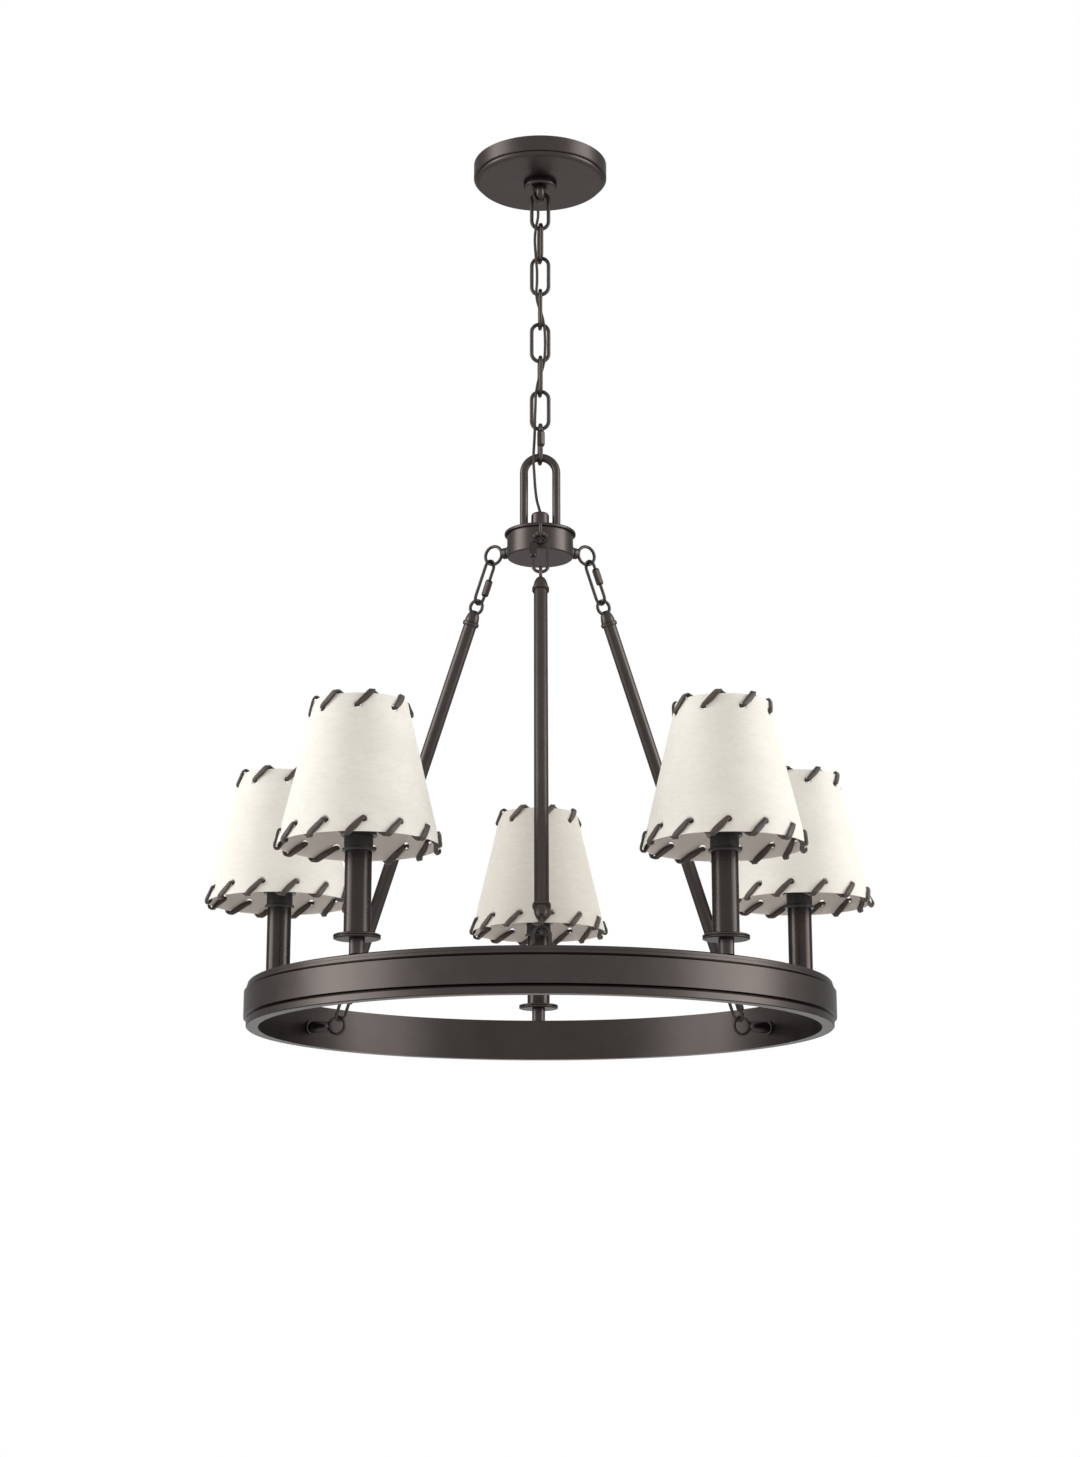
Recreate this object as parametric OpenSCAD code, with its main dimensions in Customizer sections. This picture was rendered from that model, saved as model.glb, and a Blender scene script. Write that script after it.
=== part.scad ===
// Five-light ring chandelier that hangs by a chain from a round canopy.
// Millimetres, +Z up. The origin is on the axis, in the plane of the ceiling.

/* [Canopy] */
// Diameter of the canopy
canopy_d = 127; // [110:1:150]
// Height of the canopy's upright rim
canopy_rim_h = 14.5; // [11:0.5:20]
// Height of the rounded step under the rim
canopy_step_h = 4; // [3:0.5:5]
// How far the rounded step is set back from the rim
canopy_setback = 2.2; // [1.8:0.1:3.5]
// Thickness of the canopy's sheet
canopy_wall = 1.6; // [1:0.1:2]
// Diameter of the hole in the middle of the canopy
canopy_hole_d = 26; // [23:0.5:28]

/* [Ceiling fixing] */
// Length of the crossbar
bar_len = 104; // [98:1:108]
// Width of the crossbar
bar_w = 18; // [15:0.5:24]
// Thickness of the crossbar
bar_t = 2; // [1.5:0.1:3]
// Distance between the middles of the two screw slots
slot_spacing = 79.4; // [70:0.1:84]
// Width of a screw slot
slot_w = 4.8; // [4:0.1:5.6]
// Length of a screw slot from end to end
slot_len = 14.3; // [9:0.1:15]
// Diameter of the threaded pipes
pipe_d = 9.6; // [9:0.1:11]
// Bore of the threaded pipes
pipe_bore = 6; // [4:0.5:7]
// Width of the lock nut across its flats
lock_nut_w = 15; // [14:0.5:18]
// Height of the lock nut
lock_nut_h = 2.5; // [2:0.5:4]
// Diameter of the loop's threaded stem
stem_d = 22; // [21:0.5:23]
// Length of the loop's threaded stem
stem_len = 13.5; // [11:0.5:14]
// Diameter of the short neck under the stem
neck_d = 13.4; // [10:0.1:14]
// Thickness of the cast loop's bar
loop_bar = 8.4; // [7:0.1:8.6]
// Diameter of the ring nut
nut_d = 31.4; // [29:0.2:38]
// Height of the ring nut
nut_h = 5.2; // [4:0.1:6]
// Rounding of the ring nut's lower edge
nut_round = 2.4; // [1:0.1:3]
// Diameter of the wire way through the stem
wire_way_d = 3.4; // [3.2:0.1:4]

/* [Chain] */
// Number of links, always even
link_count = 8; // [8:2:8]
// Length of a link
link_len = 41; // [39:0.5:44]
// Width of a link
link_w = 19.6; // [19.2:0.2:22]
// Thickness of the link's wire
link_wire = 3.6; // [3:0.1:3.8]
// Gap that lets two links swing on each other
link_gap = 0.05; // [0.03:0.01:0.1]
// Width of the last link, which has a screw sleeve
last_w = 16; // [15.6:0.1:17]
// Gap in the last link that its sleeve closes
last_gap = 4.5; // [4:0.1:5]
// Length of the last link's screw sleeve
last_sleeve_len = 15; // [13:0.5:15]
// Width of that sleeve across its flats
last_sleeve_w = 6.8; // [6.2:0.1:7]
// Diameter of the round cord
cord_d = 2.6; // [2:0.1:2.8]

/* [Hub] */
// Outer width of the stirrup
stirrup_w = 37.6; // [36:0.2:42]
// Thickness of the stirrup's bar
stirrup_bar = 7.6; // [6.5:0.1:8]
// Height of the stirrup above the top plate
stirrup_h = 77.4; // [76:0.2:80]
// Diameter of the cord cap
cap_d = 16.6; // [14:0.2:18]
// Height of the cord cap
cap_h = 19; // [14:0.5:20]
// Diameter of the hub's top plate
plate_d = 65.8; // [64:0.2:74]
// Thickness of the hub's top plate
plate_t = 3; // [2:0.5:5]
// Diameter of the hub cup
hub_d = 61; // [54:0.5:63]
// Height of the hub cup
hub_h = 21.5; // [20:0.5:26]
// Wall of the hub cup
hub_wall = 3; // [2:0.5:5]

/* [Eyes and quick links] */
// Thickness of the wire of eyes and quick links
eye_wire = 3; // [2.6:0.1:3.2]
// Outer diameter of the eyes on the hub
hub_eye_d = 20.4; // [19:0.1:22]
// Distance of the hub eyes from the axis
hub_eye_r = 50; // [46:0.5:54]
// Height of the eye centres above the cup's underside
hub_eye_up = 10.5; // [8:0.5:11]
// Outer diameter of the eyes on the ring
ring_eye_d = 19.4; // [18:0.1:21]
// How far the ring eyes' centres lie in from the ring's outer edge
ring_eye_in = 44; // [42:0.5:46]
// Diameter of the eyes' round studs
stud_d = 10.4; // [8:0.2:12]
// Diameter of the flange at the foot of a stud
stud_flange_d = 13; // [12:0.5:15]
// Outer width of a quick link
quick_w = 16.5; // [16:0.1:18]
// Length of a quick link
quick_len = 45; // [44:0.5:48]
// Length of a quick link's screw sleeve
sleeve_len = 16; // [14:0.5:16]
// Width of the screw sleeve across its flats
sleeve_w = 6.6; // [5.6:0.1:7]
// Gap in the quick link that the sleeve closes
quick_gap = 6; // [5:0.5:6.5]
// How far a closed sleeve lies off the middle of its quick link
sleeve_off = 4; // [3.5:0.1:4.2]
// Play of the lower quick link in the ring's eye
open_gap = 0.35; // [0.2:0.05:0.5]

/* [Rods] */
// Diameter of a rod
rod_d = 12.2; // [11:0.1:13]
// Wall of the rod's tube
rod_wall = 1.5; // [1:0.1:2.5]
// Diameter of the bead on an end fitting
bead_d = 15.2; // [14:0.1:17]
// Length of the bead
bead_len = 4; // [3:0.5:6]
// Length of the rounded nose of an end fitting
nose_len = 11; // [9:0.5:14]
// Outer diameter of a rod's eye
rod_eye_d = 16; // [15:0.1:17]

/* [Ring] */
// Outer diameter of the ring
ring_d = 520; // [510:1:530]
// Height of the ring's band
band_h = 38; // [32:1:46]
// Thickness of the band
band_t = 13; // [12:0.5:14]
// How far the two lips are set back from the face
lip_back = 2.3; // [1:0.1:3]
// Height of a lip
lip_h = 8; // [5:0.5:10]
// Wall of the hollow band
band_wall = 1.8; // [1.2:0.1:2]
// Height from the ceiling down to the ring's underside
drop = 829; // [827:1:832]

/* [Lamps] */
// Number of lamps
lamp_count = 5; // [5:1:5]
// How far the lamps' middles lie in from the ring's outer edge
lamp_in = 7.6; // [7:0.1:8.4]
// Diameter of a lamp's stem
lamp_stem_d = 12.8; // [11:0.2:14]
// Height of a lamp's stem under the drip dish
lamp_stem_h = 12; // [8:0.5:20]
// Diameter of the stem's threaded tail in the band
tail_d = 6; // [5:0.1:6.4]
// Length of the tail
tail_len = 5; // [3:0.5:8]
// Bore of the tail
tail_bore = 3; // [2.5:0.1:3.4]
// Diameter of the drip dish
dish_d = 38.6; // [32:0.2:46]
// Thickness of the drip dish
dish_t = 4; // [3:0.5:6]
// Diameter of the candle sleeve
candle_d = 22; // [21:0.5:23.5]
// Wall of the candle sleeve
candle_wall = 1.2; // [0.8:0.1:1.6]
// Height of the candle sleeve
candle_h = 67.5; // [50:0.5:90]
// Diameter of the socket's body
socket_d = 23.8; // [23:0.2:26]
// Height of the socket above the candle sleeve
socket_h = 59; // [56:0.5:66]
// Bore of the socket's mouth
socket_bore = 13.2; // [12.6:0.1:14]
// Depth of the socket's bore
socket_depth = 26; // [20:0.5:30]

/* [Shades] */
// Diameter of a shade at its bottom
shade_bottom_d = 133; // [120:1:140]
// Diameter of a shade at its top
shade_top_d = 77.2; // [70:0.2:90]
// Height of a shade
shade_h = 119.2; // [110:0.2:126]
// Thickness of the shade's leather
shade_wall = 1.2; // [0.8:0.1:1.6]
// Height of the shade's bottom above the candle sleeve's top
shade_up = 4.5; // [2:0.5:12]
// Wire of the shade's fitter
fitter_wire = 2.4; // [2:0.1:3]
// Stitches round the bottom
stitches_bottom = 13; // [11:1:14]
// Stitches round the top
stitches_top = 8; // [7:1:9]
// Distance of the lace holes from the rim
hole_in = 11; // [9:0.5:13]
// Diameter of the lace holes
lace_hole_d = 5.2; // [4.8:0.1:5.6]
// Width of the lace
lace_w = 4.6; // [4:0.1:4.8]
// Thickness of the lace
lace_t = 1; // [0.8:0.1:1.2]

/* [Hidden] */
$fn = 48;
fit = 0.05;
near_gap = 0.3;
rod_angles = [30, 150, 270];
quick_ends = [1, -1, 1];
quick_shift = 2.5;
last_sleeve_off = 3.5;
last_shift = 4.75;
lamp_angles = [for (i = [0:lamp_count - 1]) 90 + 360 / lamp_count * i];
lace_turn = [4, 12, 0, 19, 8];
// How the links of the hanging chain are turned about the axis, from the top down
link_turn = [4, 99, -6, 92, 4, 95, -4, 97];

// Heights, from the ceiling down
canopy_h = canopy_rim_h + canopy_step_h;
stem_bottom = -canopy_h - nut_h;
stem_top = stem_bottom + stem_len;
loop_r = (stem_d - loop_bar) / 2;
loop_z = stem_bottom - loop_r + 3.6;
loop_bar_z = loop_z - loop_r;
link_pitch = link_len - 2 * link_wire - link_gap;
link_1_z = loop_bar_z + loop_bar / 2 + link_gap + link_wire - link_len / 2;
function link_z(i) = link_1_z - i * link_pitch;
function link_hinge_z(i) = link_z(i) - link_len / 2 + link_wire / 2;
stirrup_top = link_z(link_count - 1) - link_len / 2 + link_wire + link_gap + stirrup_bar;
plate_top = stirrup_top - stirrup_h;
hub_top = plate_top - plate_t;
hub_bottom = hub_top - hub_h;
hub_eye_z = hub_bottom + hub_eye_up;
ring_bottom = -drop;
ring_top = ring_bottom + band_h;
ring_eye_z = ring_bottom + band_h / 2 - 2;
ring_inner_r = ring_d / 2 - band_t;
ring_eye_r = ring_d / 2 - ring_eye_in;
lamp_r = ring_d / 2 - lamp_in;

// The members between hub and ring. s is the way along a member from the hub eye's centre.
member_run = ring_eye_r - hub_eye_r;
member_fall = hub_eye_z - ring_eye_z;
member_len = norm([member_run, member_fall]);
member_tilt = atan2(member_run, member_fall);
hub_eye_mean = (hub_eye_d - eye_wire) / 2;
ring_eye_mean = (ring_eye_d - eye_wire) / 2;
rod_eye_mean = (rod_eye_d - eye_wire) / 2;
wire_step = eye_wire + fit;
quick_reach = quick_len - eye_wire;
top_link_s = hub_eye_mean - wire_step;
top_eye_s = top_link_s + quick_reach - wire_step + rod_eye_mean;
low_link_s = member_len - ring_eye_mean + eye_wire + open_gap - quick_reach;
low_eye_s = low_link_s + wire_step - rod_eye_mean;
eye_sink = 3.5;
rod_top_s = top_eye_s + eye_sink;
rod_low_s = low_eye_s - eye_sink;

// Lamps
dish_bottom = ring_top + lamp_stem_h;
candle_bottom = dish_bottom + dish_t;
candle_top = candle_bottom + candle_h;
shade_bottom = candle_top + shade_up;
shade_top = shade_bottom + shade_h;
socket_top = candle_top + socket_h;
socket_neck_h = 20;
shoulder_z = socket_top - socket_neck_h;
socket_neck_r = socket_bore / 2 + 3.4;
shade_lean = atan2((shade_bottom_d - shade_top_d) / 2, shade_h);
hoop_z = shade_top - hole_in - 8;
fitter_t = 1.6;

// The cord's route, from inside the canopy to inside the cord cap
cord_route = [
    [-6.5, -5.5, -8], [-6.5, -5.5, -17], [-6.5, -5.5, -26], [-5.8, -5.2, -34],
    [-2.6, -4.4, -44], [-2, -4, -54], [-3.9, -3.8, -65],
    [-5, -3.6, -76], [-4.6, -3.6, -88], [-3.8, -3.8, -99],
    [-3, -3.6, -110], [-3, -3.6, -122], [-3.6, -3.6, -133],
    [-2, -2.6, -143], [1.6, -2.4, -154], [3.9, -3.7, -167],
    [4.6, -4, -178], [4.6, -4, -189], [3.9, -3.8, -200],
    [2, -2.6, -209], [-1.6, -2.4, -220], [-3.9, -3.7, -234],
    [-4.4, -4.2, -246], [-4.8, -4.2, -257], [-5, -4.1, -268],
    [-5.4, -4.4, -280], [-6, -5.4, -291], [-6.2, -6.2, -302],
    [-5.4, -4.8, -314], [-4.6, -3, -326], [-3, -1.2, -338],
    [0, 0, -350], [0, 0, -361]
];
// Route points at which one stretch of cord ends and the next begins
cord_cuts = [0, 3, 6, 9, 12, 15, 18, 21, 24, 27, 32];
cord_steps = 2;

// Points of an arc, for rounded profiles
function arc(x, y, r, a, b, n) =
    [for (i = [0:n]) let (t = a + (b - a) * i / n) [x + r * cos(t), y + r * sin(t)]];

// A smooth curve through the points p, with n steps in each span
function spline_point(a, b, c, d, t) =
    0.5 * (2 * b + (c - a) * t + (2 * a - 5 * b + 4 * c - d) * t * t + (3 * b - a - 3 * c + d) * t * t * t);
function spline(p, first, last, n) = concat(
    [for (i = [first:last - 1]) for (k = [0:n - 1])
        spline_point(p[max(i - 1, 0)], p[i], p[i + 1], p[min(i + 2, len(p) - 1)], k / n)],
    [p[last]]);

function unit(v) = v / norm(v);

// A round tube swept along open points, with closed ends that are square to the ways from and to
module sweep_tube(points, from, to, d, sides) {
    n = len(points);
    tangents = [for (i = [0:n - 1]) i == 0 ? from : i == n - 1 ? to : unit(points[i + 1] - points[i - 1])];
    rings = [for (i = [0:n - 1])
        let (t = tangents[i])
        let (u = unit(cross([0, 1, 0], t)))
        let (v = cross(t, u))
        for (k = [0:sides - 1])
            points[i] + d / 2 * (u * cos(360 * k / sides) + v * sin(360 * k / sides))];
    walls = [for (i = [0:n - 2]) for (k = [0:sides - 1])
        let (a = i * sides + k)
        let (b = i * sides + (k + 1) % sides)
        each [[a, a + sides, b], [b, a + sides, b + sides]]];
    first = [for (k = [0:sides - 1]) k];
    last = [for (k = [sides - 1:-1:0]) (n - 1) * sides + k];
    polyhedron(points = rings, faces = concat(walls, [first, last]), convexity = 6);
}

// A full ring of round wire about the Y axis
module upright_ring(mean_r, wire) {
    rotate([90, 0, 0])
        rotate_extrude()
            translate([mean_r, 0])
                circle(d = wire);
}

// Half a ring of round wire in the XZ plane, open side down
module upright_half_ring(mean_r, wire) {
    rotate([90, 0, 0])
        rotate_extrude(angle = 180)
            translate([mean_r, 0])
                circle(d = wire);
}

// An oval link of round wire in the XZ plane, centred on the origin
module oval_link(length, width, wire) {
    mean_r = (width - wire) / 2;
    straight = length - width;
    for (end = [0, 1])
        mirror([0, 0, end])
            translate([0, 0, straight / 2])
                upright_half_ring(mean_r, wire);
    for (side = [-1, 1])
        translate([side * mean_r, 0, -straight / 2])
            cylinder(d = wire, h = straight);
}

// Puts a piece in the frame of a member: the origin at the hub eye, the member along -Z
module on_member(i) {
    rotate([0, 0, rod_angles[i]])
        translate([hub_eye_r, 0, hub_eye_z])
            rotate([0, -member_tilt, 0])
                children();
}

// Puts a piece on the axis of each lamp, turned with it
module at_lamps() {
    for (a = lamp_angles)
        rotate([0, 0, a])
            translate([lamp_r, 0, 0])
                children();
}

// Flat bar with a threaded middle hole and two slots for the screws of the ceiling box
module crossbar() color([0.72, 0.72, 0.7])
    difference() {
        translate([-bar_len / 2, -bar_w / 2, -bar_t])
            cube([bar_len, bar_w, bar_t]);
        translate([0, 0, -bar_t - 1])
            cylinder(d = pipe_d + 2 * fit, h = bar_t + 2);
        for (side = [-1, 1])
            translate([side * slot_spacing / 2, 0, -bar_t - 1]) {
                run = slot_len - slot_w;
                translate([-run / 2, -slot_w / 2, 0])
                    cube([run, slot_w, bar_t + 2]);
                for (end = [-1, 1])
                    translate([end * run / 2, 0, 0])
                        cylinder(d = slot_w, h = bar_t + 2);
            }
    }

// Threaded pipe that joins crossbar and loop
nipple_bottom = stem_top - 6;
module nipple() color([0.75, 0.7, 0.5])
    difference() {
        translate([0, 0, nipple_bottom])
            cylinder(d = pipe_d, h = -nipple_bottom);
        translate([0, 0, nipple_bottom - 1])
            cylinder(d = pipe_bore, h = -nipple_bottom + 2);
    }

// Hexagonal nut under the crossbar
module lock_nut() color([0.75, 0.7, 0.5])
    difference() {
        translate([0, 0, -bar_t - lock_nut_h])
            cylinder(d = lock_nut_w / cos(30), h = lock_nut_h, $fn = 6);
        translate([0, 0, -bar_t - lock_nut_h - 1])
            cylinder(d = pipe_d + 2 * fit, h = lock_nut_h + 2);
    }

// Cast loop: a threaded stem, a short neck and a heavy ring that carries the chain
module canopy_loop() color([0.2, 0.18, 0.16])
    difference() {
        union() {
            translate([0, 0, stem_bottom])
                cylinder(d = stem_d, h = stem_len);
            translate([0, 0, stem_bottom - 1])
                cylinder(d = neck_d, h = 2);
            translate([0, 0, loop_z])
                rotate([0, 0, 90])
                    upright_ring(loop_r, loop_bar);
        }
        translate([0, 0, nipple_bottom])
            cylinder(d = pipe_d + 2 * fit, h = 8);
        translate([cord_route[1].x, cord_route[1].y, stem_bottom - 2])
            cylinder(d = wire_way_d, h = stem_len + 4);
    }

// Pressed pan with an upright rim, a set-back and a rounded step, open to the ceiling
function canopy_outline(inset) = let (r = canopy_d / 2, k = canopy_setback, s = canopy_step_h) concat(
    [[r - inset, 0], [r - inset, -canopy_rim_h + 0.8 + inset * 0.4]],
    [[r - 0.8 - inset, -canopy_rim_h + inset * 0.4]],
    [[r - k - inset * 0.6, -canopy_rim_h + inset * 0.4]],
    arc(r - k - s, -canopy_rim_h, s - inset, 0, -90, 6));
module canopy() color([0.2, 0.18, 0.16])
    difference() {
        rotate_extrude($fn = 96)
            polygon(concat([[0, 0]], canopy_outline(0), [[0, -canopy_h]]));
        rotate_extrude($fn = 96)
            polygon(concat(
                [[0, 1], [canopy_d / 2 - canopy_wall, 1]],
                [[canopy_d / 2 - canopy_wall, -canopy_rim_h + canopy_wall]],
                [[canopy_d / 2 - canopy_setback - canopy_wall, -canopy_rim_h + canopy_wall]],
                arc(canopy_d / 2 - canopy_setback - canopy_step_h, -canopy_rim_h,
                    canopy_step_h - canopy_wall, 0, -90, 4),
                [[0, -canopy_h + canopy_wall]]));
        translate([0, 0, -canopy_h - 1])
            cylinder(d = canopy_hole_d, h = canopy_wall + 2);
    }

// Round nut that clamps the canopy, with a rounded lower edge
module ring_nut() color([0.2, 0.18, 0.16])
    translate([0, 0, -canopy_h - nut_h])
        rotate_extrude()
            polygon(concat(
                [[stem_d / 2 + fit, 0]],
                arc(nut_d / 2 - nut_round, nut_round, nut_round, -90, 0, 5),
                [[nut_d / 2, nut_h], [stem_d / 2 + fit, nut_h]]));

// Link number i of the chain, each a quarter turn from the last
module chain_link(i) color([0.2, 0.18, 0.16])
    translate([0, 0, link_z(i - 1)])
        rotate([0, 0, link_turn[i - 1]])
            if (i < link_count)
                oval_link(link_len, link_w, link_wire);
            else
                difference() {
                    oval_link(link_len, last_w, link_wire);
                    translate([-last_w / 2 - 1, -link_wire, last_sleeve_off + last_shift - last_gap / 2])
                        cube([last_w / 2, 2 * link_wire, last_gap]);
                }

// Six-sided sleeve that closes the last link, so that the chain can be opened there
module chain_sleeve() color([0.16, 0.15, 0.14])
    translate([0, 0, link_z(link_count - 1)])
        rotate([0, 0, link_turn[link_count - 1]])
            translate([-(last_w - link_wire) / 2, 0, last_sleeve_off])
                screw_sleeve(last_sleeve_len, last_sleeve_w, link_wire);

// The cord's way at a route point
function cord_way(c) = unit(cord_route[min(c + 1, len(cord_route) - 1)] - cord_route[max(c - 1, 0)]);

// Stretch number i of the cord, a small gap after the one before
module cord_stretch(i) color([0.25, 0.17, 0.12]) {
    from = cord_way(cord_cuts[i]);
    curve = spline(cord_route, cord_cuts[i], cord_cuts[i + 1], cord_steps);
    points = [for (k = [0:len(curve) - 1]) k == 0 && i > 0 ? curve[0] + near_gap * from : curve[k]];
    sweep_tube(points, from, cord_way(cord_cuts[i + 1]), cord_d, 8);
}

// Inverted U that hangs in the last link and stands on the top plate
stirrup_mean = (stirrup_w - stirrup_bar) / 2;
module stirrup() color([0.2, 0.18, 0.16]) {
    bend_z = stirrup_top - stirrup_w / 2;
    translate([0, 0, bend_z])
        upright_half_ring(stirrup_mean, stirrup_bar);
    for (side = [-1, 1])
        translate([side * stirrup_mean, 0, plate_top])
            cylinder(d = stirrup_bar, h = bend_z - plate_top);
}

// Round cap with a rounded top, in which the cord goes down
module cord_cap() color([0.2, 0.18, 0.16])
    translate([0, 0, plate_top])
        rotate_extrude()
            polygon(concat(
                [[cord_d / 2 + near_gap, 0], [cap_d / 2, 0]],
                arc(cap_d / 2 - 3, cap_h - 3, 3, 0, 90, 5),
                [[cord_d / 2 + near_gap, cap_h]]));

// Plate that closes the hub from above and stands a little proud of the cup
module hub_plate() color([0.2, 0.18, 0.16])
    translate([0, 0, hub_top])
        difference() {
            rotate_extrude($fn = 72)
                polygon(concat(
                    [[0, 0], [plate_d / 2 - 0.5, 0], [plate_d / 2, 0.5]],
                    arc(plate_d / 2 - 1.4, plate_t - 1.4, 1.4, 0, 90, 4),
                    [[0, plate_t]]));
            translate([0, 0, -1])
                cylinder(d = cord_d + 2 * near_gap, h = plate_t + 2);
        }

// Deep cup that carries the three eyes
module hub_cup() color([0.2, 0.18, 0.16])
    difference() {
        translate([0, 0, hub_bottom])
            rotate_extrude($fn = 72)
                polygon(concat(
                    [[0, 0]],
                    arc(hub_d / 2 - 1.5, 1.5, 1.5, -90, 0, 4),
                    [[hub_d / 2, hub_h], [0, hub_h]]));
        translate([0, 0, hub_bottom + hub_wall])
            cylinder(d = hub_d - 2 * hub_wall, h = hub_h);
        for (a = rod_angles)
            rotate([0, 0, a])
                translate([hub_d / 2 - hub_wall - 3, 0, hub_eye_z])
                    rotate([0, 90, 0])
                        cylinder(d = stud_d / 2 + 2 * fit, h = hub_wall + 5);
    }

// A stud with a closed eye. It lies along X from the wall at x to the eye centred on the origin.
module stud_eye(mean_r, wall_x) {
    way = wall_x > 0 ? 1 : -1;
    len = abs(wall_x) - mean_r;
    r = stud_d / 2;
    upright_ring(mean_r, eye_wire);
    translate([way * mean_r, 0, 0])
        rotate([0, way * 90, 0])
            rotate_extrude()
                polygon([
                    [0, 0], [eye_wire / 2 + 0.8, 0], [r - 0.9, 1], [r, 2.4], [r, len - 4.6],
                    [r - 0.7, len - 4], [r - 0.7, len - 3.4],
                    [stud_flange_d / 2 - 0.5, len - 3], [stud_flange_d / 2, len - 2.5],
                    [stud_flange_d / 2, len], [0, len]
                ]);
}

// Three eyes on the hub, with a threaded shank in the cup's wall
module hub_eyes() color([0.2, 0.18, 0.16])
    for (a = rod_angles)
        rotate([0, 0, a]) {
            difference() {
                translate([hub_eye_r, 0, hub_eye_z])
                    stud_eye(hub_eye_mean, hub_d / 2 - hub_eye_r);
                translate([0, 0, hub_bottom - 5])
                    cylinder(d = hub_d, h = hub_h + 10, $fn = 72);
            }
            translate([hub_d / 2 - hub_wall + 0.4, 0, hub_eye_z])
                rotate([0, 90, 0])
                    cylinder(d = stud_d / 2, h = hub_wall + 1.6);
        }

// Oval quick link in the plane across the member. Its first wire centre is at s, end is 1 with the gap
// near that end and -1 with the gap near the other end.
module quick_link(s, end) {
    rotate([0, 0, 90])
        translate([0, 0, -s - quick_len / 2 + eye_wire / 2])
            difference() {
                oval_link(quick_len, quick_w, eye_wire);
                translate([-quick_w / 2 - 1, -eye_wire, end * (sleeve_off + quick_shift) - quick_gap / 2])
                    cube([quick_w / 2, 2 * eye_wire, quick_gap]);
            }
}

// Six-sided sleeve with turned-down ends on a wire along Z
module screw_sleeve(length, width, wire) {
    r = width / 2 / cos(30);
    difference() {
        intersection() {
            translate([0, 0, -length / 2])
                cylinder(r = r, h = length, $fn = 6);
            rotate_extrude()
                polygon([
                    [0, -length / 2], [r - 1.3, -length / 2], [r + 0.2, -length / 2 + 2.6],
                    [r + 0.2, length / 2 - 2.6], [r - 1.3, length / 2], [0, length / 2]
                ]);
        }
        translate([0, 0, -length])
            cylinder(d = wire + 2 * fit, h = 2 * length);
    }
}

module quick_sleeve(s, end)
    translate([0, -(quick_w - eye_wire) / 2, -s - quick_len / 2 + eye_wire / 2 + end * sleeve_off])
        screw_sleeve(sleeve_len, sleeve_w, eye_wire);

module quick_top(i) color([0.2, 0.18, 0.16])
    on_member(i)
        quick_link(top_link_s, quick_ends[i]);

module quick_low(i) color([0.2, 0.18, 0.16])
    on_member(i)
        quick_link(low_link_s, -quick_ends[i]);

module sleeve_top(i) color([0.16, 0.15, 0.14])
    on_member(i)
        quick_sleeve(top_link_s, quick_ends[i]);

module sleeve_low(i) color([0.16, 0.15, 0.14])
    on_member(i)
        quick_sleeve(low_link_s, -quick_ends[i]);

// Round tube between the two end fittings
rod_end_len = nose_len + bead_len;
module rod(i) color([0.2, 0.18, 0.16])
    on_member(i)
        difference() {
            translate([0, 0, -rod_low_s + rod_end_len])
                cylinder(d = rod_d, h = rod_low_s - rod_top_s - 2 * rod_end_len);
            translate([0, 0, -rod_low_s])
                cylinder(d = rod_d - 2 * rod_wall, h = rod_low_s - rod_top_s);
        }

// Rounded nose with an eye, a bead and a spigot in the tube. The tip is at the origin, the tube along -Z.
module end_fitting() {
    r = rod_d / 2 + 0.4;
    rotate_extrude()
        polygon(concat(
            [[0, -rod_end_len - 8], [rod_d / 2 - rod_wall, -rod_end_len - 8]],
            [[rod_d / 2 - rod_wall, -rod_end_len], [bead_d / 2 - 0.8, -rod_end_len]],
            [[bead_d / 2, -rod_end_len + 0.8], [bead_d / 2, -nose_len - 0.8], [bead_d / 2 - 0.8, -nose_len]],
            [for (k = [0:6]) [r * sqrt(1 - pow(k / 6.6, 2)), -nose_len + nose_len * k / 6]],
            [[0, 0]]));
    translate([0, 0, eye_sink])
        upright_ring(rod_eye_mean, eye_wire);
}

module rod_ends(i) color([0.2, 0.18, 0.16])
    on_member(i) {
        translate([0, 0, -rod_top_s])
            end_fitting();
        translate([0, 0, -rod_low_s])
            rotate([180, 0, 0])
                end_fitting();
    }

// Hollow band with a proud face between two lips
module ring_band() color([0.2, 0.18, 0.16]) {
    r = ring_d / 2;
    difference() {
        rotate_extrude($fn = 120)
            difference() {
                polygon([
                    [ring_inner_r, ring_bottom], [r - lip_back - 0.8, ring_bottom],
                    [r - lip_back, ring_bottom + 0.8], [r - lip_back, ring_bottom + lip_h - 1],
                    [r, ring_bottom + lip_h], [r, ring_top - lip_h], [r - lip_back, ring_top - lip_h + 1],
                    [r - lip_back, ring_top - 3.4], [r - lip_back - 0.8, ring_top - 3],
                    [r - lip_back - 0.8, ring_top - 0.8], [r - lip_back - 1.6, ring_top],
                    [ring_inner_r, ring_top]
                ]);
                translate([ring_inner_r + band_wall, ring_bottom + band_wall])
                    square([band_t - lip_back - 1.6 - 2 * band_wall, band_h - 2 * band_wall]);
            }
        at_lamps()
            translate([0, 0, ring_top - tail_len - 0.5])
                cylinder(d = tail_d + 2 * fit, h = tail_len + 1.5);
    }
}

// Three eyes on the inside of the band
module ring_eyes() color([0.2, 0.18, 0.16])
    for (a = rod_angles)
        rotate([0, 0, a])
            intersection() {
                translate([ring_eye_r, 0, ring_eye_z])
                    stud_eye(ring_eye_mean, ring_inner_r + 1 - ring_eye_r);
                translate([0, 0, ring_bottom])
                    cylinder(r = ring_inner_r, h = band_h, $fn = 120);
            }

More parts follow.
